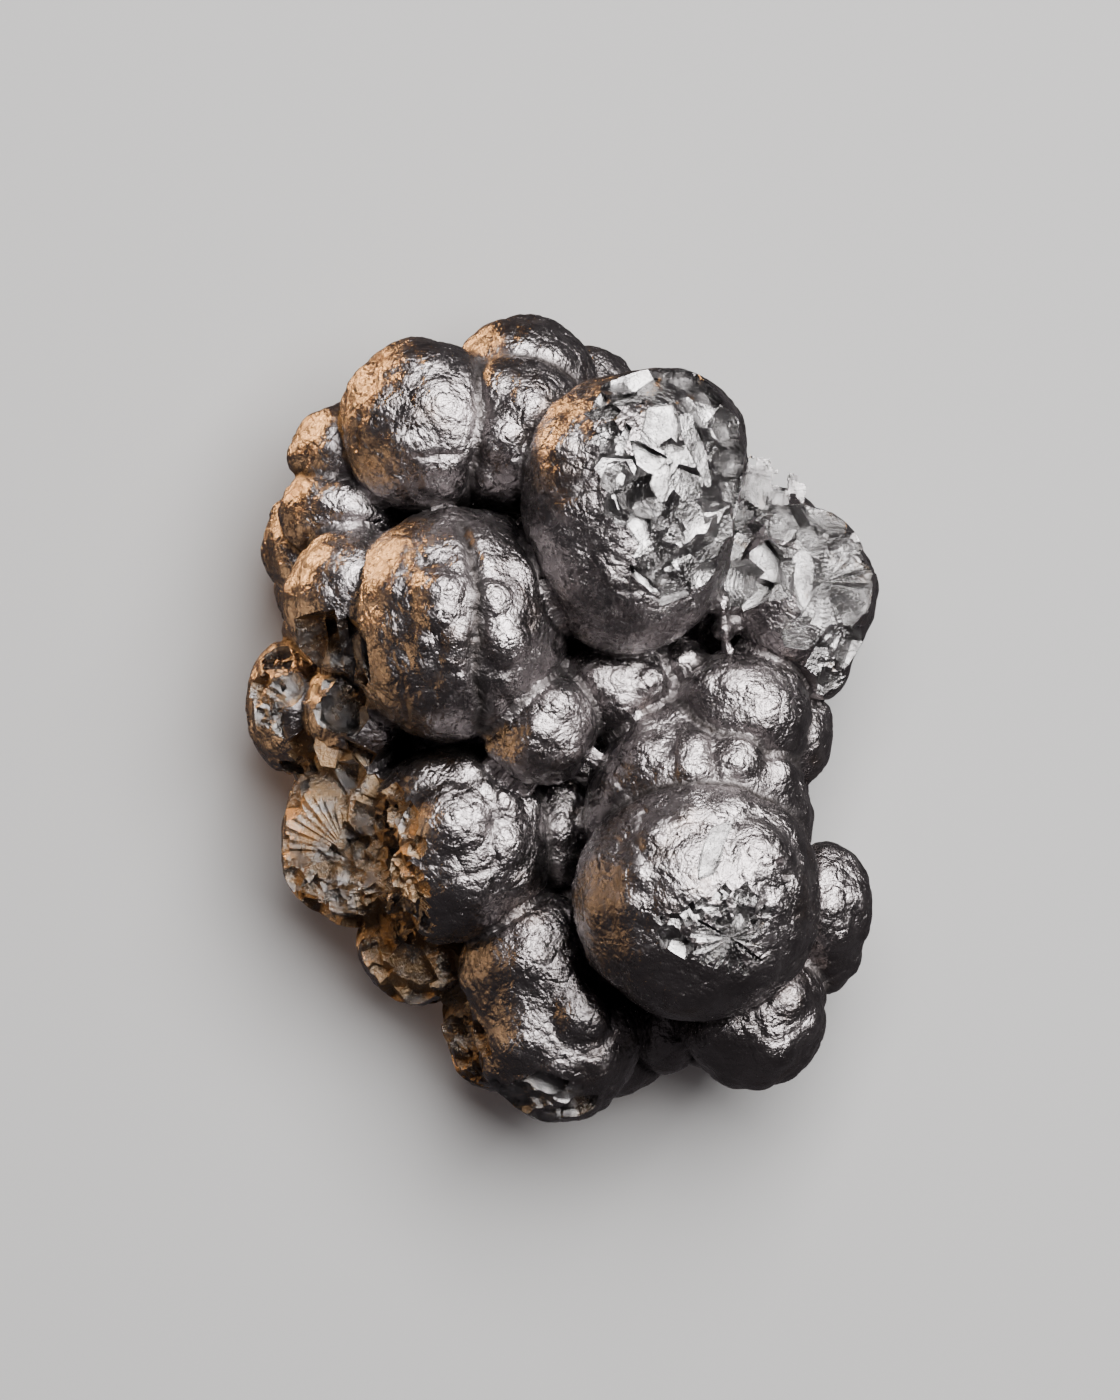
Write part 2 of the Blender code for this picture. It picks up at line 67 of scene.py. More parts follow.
# Each nodule: centre, three radii, and its caps (x, y from the centre, spread, rise).
nodules = {
    "crownLeft": ((-21.5, 47, 38), (14.2, 14.3, 15), [
        (-9.5, 3, 6.5, .6), (3.5, 3, 7.5, .6), (-2, 10, 6, .45), (2, -8, 5.5, .6),
        (-4.5, -8.5, 4, .5), (-6, -3, 5, .45), (-11, -4, 4.5, .45), (6, -2, 4.5, .4)]),
    "crownRight": ((-7, 46, 39), (13, 13, 12.5), [
        (2.5, 5, 5.8, 1), (-3, -1, 4.8, .8), (-4.5, 8, 5.5, .5), (1, -6.5, 5, .6),
        (8, -1, 4.4, .6), (-5, -8, 4, .4)]),
    "crownBack": ((-6, 54, 30), (11.5, 11.5, 12), [
        (5, 4, 5, .6), (-2, 7, 5, .4), (-8, 5, 4, .4), (9, -1, 3.5, .4)]),
    "shoulderTop": ((-34, 42, 30), (9.5, 9.5, 11), [(-4, 2.5, 4, .5), (-1, 6, 4, .4), (-6.5, -3, 3.5, .4)]),
    "shoulderLow": ((-35.5, 33.5, 33), (9.5, 8.5, 10), [
        (-4, 2.5, 4, .5), (2.5, 0, 4.5, .4), (-6, -2.5, 3.5, .4)]),
    "rimTop": ((-40, 28, 24), (8, 9.5, 11), [(-5, 2, 3, .4), (-5, -4, 3, .4)]),
    "heart": ((-17, 15, 46), (18.5, 18.7, 18.5), [
        (-2.3, 5.6, 5.2, 1.5), (-2.4, 2.2, 4.4, 1.2), (.4, -2.1, 3.2, 1), (.3, -5.2, 3, .8),
        (-4.9, -3, 3.4, .5), (-5.4, -6.6, 3.2, .5), (.7, -9, 3.6, .6), (1.4, 8.5, 3, .5), (6, 4.4, 3.7, .9),
        (8.6, -2.8, 5.2, 1.6), (8.3, -9, 3.4, .5), (6, 9.8, 3.2, .5), (-5, 13, 5, .5), (3.5, 14.5, 5, .5),
        (11, 10, 4, .4),
        (-10, 6, 4.5, .5), (-12, -1, 4.5, .5), (-10.5, -7, 4, .4), (-7, -14, 6, .4), (3, -14.5, 6.5, .4)]),
    "heartLeft": ((-34, 19, 42), (10, 12, 12), [
        (-2, 7, 5, .4), (-6, 1, 4, .4), (3, 4, 5, .5), (-3, -6, 4, .4)]),
    "heartLow": ((-3, -1, 46), (9.5, 9.7, 10), [
        (3, 4, 4, .7), (-1.5, -1.5, 4.5, .6), (4, -4.5, 4, .4), (-4, -6, 3.5, .35)]),
    "rimMid": ((-42, 2, 27), (9, 11, 12), [(-2.5, 1, 5, .5), (-5.5, 6, 3, .4), (-6.5, -2, 3, .4)]),
    "neck": ((-33, 1, 36), (9, 9, 12), []),
    "saddle": ((-17, -20, 38), (16, 16, 16), [
        (0, 4.5, 7, 1.3), (-5, 11.5, 4.2, .6), (2, 12.5, 3.8, .7), (5, 10, 3, .5), (8.7, 6.5, 3.6, .9),
        (9, -.5, 3.9, .8), (11, -7, 3.6, .5), (13, 6.5, 3, .6), (2, -7.5, 5.5, .6), (-7, -7, 5, .35)]),
    "saddleLeft": ((-32, -19, 30), (13.2, 15, 14), []),
    "pocket": ((-1, -18, 33), (8, 9, 9), [(1, 0, 3.5, .6), (0, -6, 3, .4)]),
    "rimLow": ((-22, -36, 25), (11, 10, 12), []),
    "footTop": ((-4, -40, 35), (12, 12, 13), [
        (4, -2, 4.5, .7), (-1, 2, 4.8, .8), (0, 7, 5, .5), (-6, 1, 4.5, .4)]),
    "foot": ((0, -50.5, 33), (13.5, 14.5, 15), [
        (4, 3.5, 6.5, 2), (-3, 9, 4, .6), (-7, -1.5, 5, .6), (7, -5.5, 5, .6), (0, -7, 5, .5),
        (10, 1.5, 4, .5)]),
    "footLeft": ((-10, -50, 24), (9, 10.5, 12), []),
    "globe": ((22, -28.5, 52), (20, 20, 20), [
        (-7, 10.5, 4.2, .8), (-10, 4.5, 4.8, .9), (-11, -1.5, 4.2, .8), (-16.5, -1.5, 4, .5),
        (-16, 6.5, 4, .5), (-10, -8.5, 5, .5), (0, 15, 6, .5), (6, 16, 5, .5), (11, 7.5, 6.8, 1.1),
        (9, 8.5, 1.9, .5),
        (13, 9.5, 2.1, .5), (11.5, 4, 2.3, .5), (14, 6.5, 1.7, .4), (8, 4, 1.9, .4), (16, 1.5, 4.2, .6),
        (12.5, -.5, 3.2, .5), (8.5, .5, 2.6, .45), (-3, 8, 5.5, .3), (-2, -16, 6, .3), (10, -12, 5, .35),
        (-4, 1, 5, .3)]),
    "globeBack": ((22, -15, 43), (18.5, 18.5, 17.5), [
        (-9.5, 9.5, 4.6, .9), (-1, 11, 3.5, .85), (-1, 7, 3.3, .7), (7, 9.5, 4.8, 1.2), (14, 7, 4.2, .9),
        (-3, 17, 3.6, .6), (-8, 14.5, 3.4, .6), (5, 16, 4, .6), (-14, 5, 4.2, .6)]),
    "knuckle": ((42.5, -30, 36), (7.7, 9.5, 10), [(1.5, 0, 4, .5), (5.5, 1.5, 3.4, .5), (3, -6, 3.4, .4)]),
    "knuckleLow": ((42, -37, 31), (7, 7.5, 9), [(3, -2, 3, .4)]),
    "heel": ((31, -47, 36), (12, 12.2, 13), [
        (6, 3, 5.2, .9), (-6, -4, 5.5, .5), (4, -7, 4.8, .7), (9, -2, 3.6, .5), (-1, 4, 4.5, .4)]),
    "heelLeft": ((16, -49, 22), (8, 8.5, 10), []),
    "cheek": ((29, 0, 44), (11.5, 11.5, 12), [
        (5, 1.5, 5, .6), (-6, 5.5, 3.6, .5), (-2, 7, 3.4, .4), (7.5, -5, 3.6, .4)]),
    "cheekRight": ((37, -3, 33), (7, 8, 10), [(3.5, 0, 3.5, .5)]),
    "hollow": ((9, 5, 40), (10.5, 9, 10), [(6, 1, 3.6, .9), (-4, 2, 4, .5), (1, -4, 4.4, .4)]),
    "wedge": ((20, 9, 40), (5, 4, 6), []),
    "dome": ((11, 38, 50), (17, 17.5, 17), [(-12.5, 5, 7.5, 1.1), (-5, 12, 6, .5)]),
    "domeLow": ((11, 27, 49), (16, 16.5, 16), [
        (-11.5, 4, 7, 1.1), (-10, -5, 5.5, .5), (-3, -7, 6.2, .6), (4, -12.5, 6.2, .6),
        (10.5, -9.5, 5.8, .6)]),
    "domeRight": ((19.5, 44, 45), (10.3, 11, 12), []),
    "horn": ((38, 21, 40), (12.7, 13.5, 14), [(-4, -8, 6, .3)]),
    "hornTip": ((41.5, 11, 37), (5.5, 8, 9), []),
    "beadHigh": ((26, 18.5, 48), (2, 3, 4), []),
    "beadLow": ((26.2, 14.5, 47), (2.2, 2.6, 4), []),
}

# Smaller nodules round the sides, and the massive ore inside.
flank = {
    "flankTop": ((2, 50, 19), (12, 11, 12)),
    "flankCrown": ((-18, 46, 19), (13, 12, 13)),
    "flankShoulder": ((-32, 36, 17), (10, 10, 11)),
    "flankRim": ((-38, 22, 15), (8.5, 9, 10)),
    "flankHeart": ((-36, 13, 27), (9, 9, 10)),
    "flankMid": ((-40, 4, 15), (9, 9, 10)),
    "flankSaddle": ((-35, -14, 15), (9, 10, 10)),
    "flankLow": ((-21, -33, 14), (10, 10, 10)),
    "flankFootLeft": ((-8, -47, 15), (10, 11, 11)),
    "flankFoot": ((7, -51, 17), (11, 11, 12)),
    "flankHeel": ((25, -46, 18), (12, 11, 12)),
    "flankKnuckle": ((37, -33, 19), (11, 11, 12)),
    "flankGlobe": ((32, -15, 18), (9, 10, 12)),
    "flankCheek": ((34, 0, 17), (9, 10, 11)),
    "flankHorn": ((38, 18, 21), (10.5, 11, 12)),
    "flankLedge": ((33, 30, 21), (10, 8, 12)),
    "flankDome": ((18, 43, 20), (11.5, 12, 13)),
}
core = {
    "core": ((0, 0, 13), (37, 47, 20)),
    "coreTop": ((2, 27, 15), (30, 26, 19)),
    "coreLow": ((6, -26, 15), (29, 26, 19)),
}

# Lobes that run into each other with no groove between them, and how wide the join is.
grownTogether = [
    (("dome", "domeLow", "domeRight"), 6), (("footTop", "foot"), 4), (("horn", "hornTip"), 4),
    (("knuckle", "knuckleLow"), 1.5), (("heart", "heartLeft"), .8), (("core", "coreTop", "coreLow"), 6),
]

growth = dict(
    voxel=0.5, ballSteps=4, capBlend=.45, spreadScale=1.08, riseScale=1.5,
    sideCaps=9, sideTurn=110, sideLift=(-.5, .45), sideSpread=(3.2, 5.5), sideRise=(.25, .55), smallNodule=6,
    seed=11, snaps=3, looseSkin=.6, nearMargin=4,
)


def surfacePoint(centre, radii, direction):
    scaled = Vector(d / r for d, r in zip(direction, radii))
    offset = Vector(direction) / scaled.length
    normal = Vector(o / (r * r) for o, r in zip(offset, radii)).normalized()
    return Vector(centre) + offset, normal


def capBall(centre, radii, direction, spread, rise):
    point, normal = surfacePoint(centre, radii, direction)
    noduleRadius = math.prod(radii) ** (1 / 3)
    spread, rise = spread * growth["spreadScale"], rise * growth["riseScale"]
    capRadius = 1 / (1 / noduleRadius + 2 * rise / spread**2)
    middle = point + normal * (rise - capRadius)
    return tuple(middle), (capRadius,) * 3, tuple(point + normal * rise)


def directionAbove(radii, dx, dy):
    height = math.sqrt(max(1 - (dx / radii[0]) ** 2 - (dy / radii[1]) ** 2, 0))
    return dx, dy, radii[2] * height


def sideCaps(centre, radii, chance):
    outward = math.atan2(centre[1], centre[0])
    for _ in range(growth["sideCaps"]):
        turn = outward + math.radians(chance.uniform(-growth["sideTurn"], growth["sideTurn"]))
        direction = (math.cos(turn), math.sin(turn), chance.uniform(*growth["sideLift"]))
        spread = chance.uniform(*growth["sideSpread"])
        yield capBall(centre, radii, direction, spread, chance.uniform(*growth["sideRise"]))


def growLobes():  # groups of lobes, each lobe a list of balls (centre, radii, apex) with its own ball first
    sideChance = random.Random(growth["seed"])
    lobes = {}
    everyNodule = dict(nodules)
    everyNodule.update({name: (*place, []) for name, place in flank.items()})
    for name, (centre, radii, caps) in everyNodule.items():
        lobe = [(centre, radii, None)]
        for dx, dy, spread, rise in caps:
            lobe.append(capBall(centre, radii, directionAbove(radii, dx, dy), spread, rise))
        if min(radii) > growth["smallNodule"]:
            lobe.extend(sideCaps(centre, radii, sideChance))
        lobes[name] = lobe
    for name, (centre, radii) in core.items():
        lobes[name] = [(centre, radii, None)]
    groups = [([lobes.pop(name) for name in names], join) for names, join in grownTogether]
    groups.extend(([lobe], 1) for lobe in lobes.values())
    return groups


def applyModifiers(obj):
    data = bpy.data.meshes.new_from_object(obj.evaluated_get(bpy.context.evaluated_depsgraph_get()))
    obj.modifiers.clear()
    old = obj.data
    obj.data = data
    bpy.data.meshes.remove(old)


def readPoints(data):
    points = np.empty(len(data.vertices) * 3, np.float32)
    data.vertices.foreach_get("co", points)
    return points.reshape(-1, 3).astype(float) / mm


def writePoints(data, points):
    data.vertices.foreach_set("co", (points * mm).astype(np.float32).ravel())
    data.update()


def newObject(name, points, faces):
    data = bpy.data.meshes.new(name)
    data.from_pydata(np.asarray(points) * mm, [], faces)
    obj = bpy.data.objects.new(name, data)
    bpy.context.scene.collection.objects.link(obj)
    return obj


def fuseLobes(groups):  # every ball overlapping in one mesh, then one closed skin by voxels
    ball = bmesh.new()
    bmesh.ops.create_icosphere(ball, subdivisions=growth["ballSteps"], radius=1)
    unit = np.array([v.co for v in ball.verts])
    sides = np.array([[v.index for v in f.verts] for f in ball.faces])
    ball.free()
    balls = [b for lobes, _ in groups for lobe in lobes for b in lobe]
    points = np.concatenate([unit * b[1] + np.array(b[0]) for b in balls])
    ore = newObject("ore", points, np.concatenate([sides + i * len(unit) for i in range(len(balls))]))
    fuse = ore.modifiers.new("fuse", "REMESH")
    fuse.mode = "VOXEL"
    fuse.voxel_size = growth["voxel"] * mm
    applyModifiers(ore)
    return ore


def ballDistance(points, centre, radii):  # signed distance and the way out
    scaled = (points - np.array(centre)) / np.array(radii)
    k0 = np.linalg.norm(scaled, axis=1)
    steep = scaled / np.array(radii)
    k1 = np.linalg.norm(steep, axis=1) + 1e-9
    return k0 * (k0 - 1) / k1, steep / k1[:, None]


def softUnion(dist, way, otherDist, otherWay, blend):
    share = np.clip(.5 + .5 * (dist - otherDist) / blend, 0, 1)
    joined = dist * (1 - share) + otherDist * share - blend * share * (1 - share)
    return joined, way * (1 - share[:, None]) + otherWay * share[:, None]


def groupDistance(part, lobes, join):
    total = None
    for lobe in lobes:
        dist, way = ballDistance(part, *lobe[0][:2])
        for centre, radii, _ in lobe[1:]:
            dist, way = softUnion(dist, way, *ballDistance(part, centre, radii), growth["capBlend"])
        total = (dist, way) if total is None else softUnion(*total, dist, way, join)
    return total


# Moves points onto the smooth lobes. Also gives each one's way out, nearest apex and gap to the next lobe.
def snapToLobes(points, groups):
    best = np.full(len(points), 1e9)
    second = np.full(len(points), 1e9)
    out = np.zeros_like(points)
    apex = np.full(points.shape, 1e4)
    for lobes, join in groups:
        near = np.zeros(len(points), bool)
        for lobe in lobes:
            reach = np.array(lobe[0][1]) + growth["nearMargin"]
            near |= (np.abs(points - np.array(lobe[0][0])) < reach).all(axis=1)
        near = np.flatnonzero(near)
        part = points[near]
        dist, way = groupDistance(part, lobes, join)
        closer = dist < best[near]
        second[near] = np.where(closer, best[near], np.minimum(second[near], dist))
        taken = near[closer]
        best[taken] = dist[closer]
        out[taken] = way[closer]
        tops = np.array([b[2] for lobe in lobes for b in lobe[1:]] or [lobes[0][0][0]])
        gaps = np.linalg.norm(part[closer][:, None, :] - tops[None, :, :], axis=2)
        apex[taken] = tops[gaps.argmin(axis=1)]
    out /= np.linalg.norm(out, axis=1)[:, None] + 1e-9
    step = np.clip(best, -growth["looseSkin"], growth["looseSkin"])
    return points - out * step[:, None], out, apex, second - best


# The relief of the skin. Pairs are the size of the noise and its height.
wrinkles = dict(
    swell=(9, .4), dents=(2.4, .13),
    cells=((8, .6), (3.4, .24)), cellPatch=9, cellShare=(.65, .7), cellTop=.4,
    rings=(1.6, .06), ringStray=(3.2, 1.1), ringPatch=4.5, ringShare=(.55, .9), ringStart=2,
    crumple=(1.9, .34), crumpleCalm=.7, crumpleLean=.1, grooveWidth=1, grooveDepth=.6,
)
noiseSeeds = dict(
    swell=1, dents=2, ringStray=4, ringPatch=5, seams=(6, 7), cells=20, crumple=25, cellPatch=30,
    lace=41, sheet=(42, 43, 45), laceEdge=44, sheetWave=46,
)
lattice = 32  # noise repeats after so many cells

# Fewer triangles where the skin looks down (lean) and lies low (height): where that begins, and its span.
thinning = dict(
    valleyWidth=1.1, valleySmooth=4, lean=(.25, .8), height=(52, 30), share=(.08, 1.4), keepShare=.3,
)

# Grooves drawn on the lobes: depth, half width, and the line that they follow.
seams = [
    (1.1, 1.1, [(-15.6, 31), (-14.3, 27), (-13.1, 20), (-12.8, 14), (-13.6, 8), (-12.6, 3), (-12.4, -1)]),
    (.4, .5, [(-2.5, 36), (0, 35.2), (2.2, 35.5), (4, 36.6), (6, 36)]),
    (.3, .45, [(18.3, 0), (17.6, -5), (18.4, -9.5)]),
    (.3, .45, [(24.6, -1), (24, -5), (25, -9)]),
    (.3, .45, [(33, -2.5), (33.4, -6), (34.2, -9.5)]),
    (.35, .5, [(9.2, -24.5), (8.4, -30), (9.3, -36)]),
    (.3, .45, [(13.5, -14.5), (12, -18), (12.6, -21), (14.5, -24)]),
    (.3, .45, [(26, -16.5), (30, -15.3), (34, -16.7), (37, -19), (38.2, -23)]),
    (.35, .45, [(-10.5, -7.5), (-10, -14), (-10.6, -20), (-10.4, -27)]),
    (.3, .45, [(-21, -27), (-16, -25.2), (-11, -24.4)]),
    (.4, .5, [(-1.8, -49), (1, -52.8), (5, -54), (8.4, -51.5)]),
    (.35, .45, [(31, -47), (32, -50.5), (35, -51.8), (38, -50.4), (40, -48)]),
    (.5, .5, [(35, -41), (38, -38.5), (40.5, -36.5)]),
    (.4, .5, [(40.5, -36.5), (42.5, -40)]),
    (.3, .45, [(46.5, -25), (46.8, -29), (46.3, -33)]),
    (.4, .5, [(-22.5, 41.6), (-19, 42.4), (-16, 42)]),
    (.6, .45, [(-32.3, 49), (-32.8, 46), (-33.2, 43.5)]),
    (.35, .5, [(-27, 10), (-25, 6), (-24.6, 0), (-24.6, -5)]),
]
seamLook = dict(stray=(2.2, .35), lean=.15, lowest=30)

# Where the skin is creased most: x, y, radius.
crumples = [
    (33, -24, 7), (27, -30, 6), (19, -34, 4), (36, -31, 4), (-19, 18, 4.5), (-15, 10, 4), (-9, 12, 3.5),
    (-4.5, 51, 4), (-16, 50, 4), (4, -48, 4), (-15, -14, 5), (36, 2, 4), (26, 5, 3), (44, -27, 4),
    (36, -45, 4), (15, 6, 3), (0, 2, 4),
]

# Small holes: x, y, radius, depth.
pinholes = [
    (35, -22.5, .55, 1.6), (36, -24.8, .7, 1), (-19.5, 17, .25, .5), (-18, 16.3, .3, .5), (-9, 10.5, .25, .4),
]


def softNoise(points, size, seed):  # smooth random field from -1 to 1
    values = np.random.default_rng(seed).uniform(-1, 1, (lattice, lattice, lattice))
    scaled = points / size
    cell = np.floor(scaled).astype(int)
    t = scaled - cell
    t = t * t * t * (t * (t * 6 - 15) + 10)
    total = np.zeros(len(points))
    for corner in range(8):
        step = np.array([corner & 1, corner >> 1 & 1, corner >> 2 & 1])
        weight = np.where(step, t, 1 - t).prod(axis=1)
        i, j, k = ((cell + step) % lattice).T
        total += weight * values[i, j, k]
    return total


def cellNoise(points, size, seed):  # distances to the nearest two of scattered seeds, in seed spacings
    stray = np.random.default_rng(seed).uniform(0, 1, (lattice, lattice, lattice, 3))
    scaled = points / size
    cell = np.floor(scaled).astype(int)
    near = np.full(len(points), 9.)
    far = np.full(len(points), 9.)
    for step in np.ndindex(3, 3, 3):
        corner = cell + np.array(step) - 1
        i, j, k = (corner % lattice).T
        gap = np.linalg.norm(corner + stray[i, j, k] - scaled, axis=1)
        far = np.minimum(far, np.maximum(near, gap))
        near = np.minimum(near, gap)
    return near, far


def lineGap(points, line):  # distance in plan to a line of several stretches
    gap = np.full(len(points), 1e9)
    for start, end in zip(line, line[1:]):
        start, along = np.array(start), np.array(end) - start
        share = np.clip(((points - start) @ along) / (along @ along), 0, 1)
        gap = np.minimum(gap, np.linalg.norm(points - start - share[:, None] * along, axis=1))
    return gap


def crumpleShare(points, out):  # from 0 to 1, where the skin is creased most
    share = np.zeros(len(points))
    for x, y, radius in crumples:
        gap = np.linalg.norm(points[:, :2] - (x, y), axis=1)
        share = np.maximum(share, np.exp(-(gap / radius) ** 4))
    return share * (out[:, 2] > wrinkles["crumpleLean"])


def seamDepths(points, out):
    depths = np.zeros(len(points))
    size, stray = seamLook["stray"]
    plan = points[:, :2] + stray * np.stack([softNoise(points, size, s) for s in noiseSeeds["seams"]], axis=1)
    shown = (out[:, 2] > seamLook["lean"]) & (points[:, 2] > seamLook["lowest"])
    for depth, width, line in seams:
        margin = 3 * width
        low, high = np.min(line, axis=0) - margin, np.max(line, axis=0) + margin
        near = np.flatnonzero(((plan > low) & (plan < high)).all(axis=1) & shown)
        carved = depth * np.exp(-(lineGap(plan[near], line) / width) ** 2)
        depths[near] = np.maximum(depths[near], carved)
    for x, y, radius, depth in pinholes:
        gap = np.linalg.norm(points[:, :2] - (x, y), axis=1)
        depths += np.where(shown, depth * np.exp(-(gap / radius) ** 4), 0)
    return depths


def wrinkleSkin(points, out, apex, gap):
    w, seeds = wrinkles, noiseSeeds
    height = w["swell"][1] * softNoise(points, w["swell"][0], seeds["swell"])
    height += w["dents"][1] * softNoise(points, w["dents"][0], seeds["dents"])
    creased = crumpleShare(points, out)
    calm = 1 - w["crumpleCalm"] * creased
    for i, (size, rise) in enumerate(w["cells"]):
        near, far = cellNoise(points, size, seeds["cells"] + i)
        share, stray = w["cellShare"]
        patch = np.clip(share + stray * softNoise(points, w["cellPatch"], seeds["cellPatch"] + i), 0, 1)
        height += rise * patch * calm * (w["cellTop"] - (near / far) ** 2)
    near, far = cellNoise(points, w["crumple"][0], seeds["crumple"])
    height += w["crumple"][1] * creased * (w["cellTop"] - (near / far) ** 2)
    reach = np.linalg.norm(points - apex, axis=1)
    stray = w["ringStray"][1] * softNoise(points, w["ringStray"][0], seeds["ringStray"])
    wave = np.sin(2 * np.pi * (reach + stray) / w["rings"][0])
    share, change = w["ringShare"]
    patch = np.clip(share + change * softNoise(points, w["ringPatch"], seeds["ringPatch"]), 0, 1)
    height += w["rings"][1] * wave * (patch * np.clip(reach / w["ringStart"], 0, 1))
    height -= seamDepths(points, out)
    height -= w["grooveDepth"] * np.exp(-(gap / w["grooveWidth"]) ** 2)
    return points + out * height[:, None]


def growOre():
    groups = growLobes()
    ore = fuseLobes(groups)
    say(f"fused {len(ore.data.polygons)} faces")
    points = readPoints(ore.data)
    for _ in range(growth["snaps"]):
        points, out, apex, gap = snapToLobes(points, groups)
    say("snapped")
    points = wrinkleSkin(points, out, apex, gap)
    points[:, 2] = np.maximum(points[:, 2], 0)
    writePoints(ore.data, points)
    say("wrinkled")
    thinOre(ore, points, out, gap)
    return ore, groups


def weightVertices(ore, name, weights):
    group = ore.vertex_groups.new(name=name)
    for weight in np.unique(weights):
        group.add(np.flatnonzero(weights == weight).tolist(), float(weight), "REPLACE")


def thinOre(ore, points, out, gap):  # more triangles stay where the camera side shows them
    weightVertices(ore, "valleys", np.exp(-(gap / thinning["valleyWidth"]) ** 2).round(1))
    even = ore.modifiers.new("even", "SMOOTH")
    even.vertex_group = "valleys"
    even.iterations = thinning["valleySmooth"]
    (lean, leanSpan), (height, heightSpan) = thinning["lean"], thinning["height"]
    hidden = np.clip((lean - out[:, 2]) / leanSpan, 0, 1)
    hidden *= np.clip((height - points[:, 2]) / heightSpan, 0, 1)
    least, growing = thinning["share"]
    weightVertices(ore, "coarse", np.clip(least + hidden * growing, 0, 1).round(1))
    thin = ore.modifiers.new("thin", "DECIMATE")
    thin.ratio = thinning["keepShare"]
    thin.vertex_group = "coarse"
    thin.vertex_group_factor = 1
    applyModifiers(ore)
    ore.vertex_groups.clear()
    say(f"thinned to {len(ore.data.polygons)}")


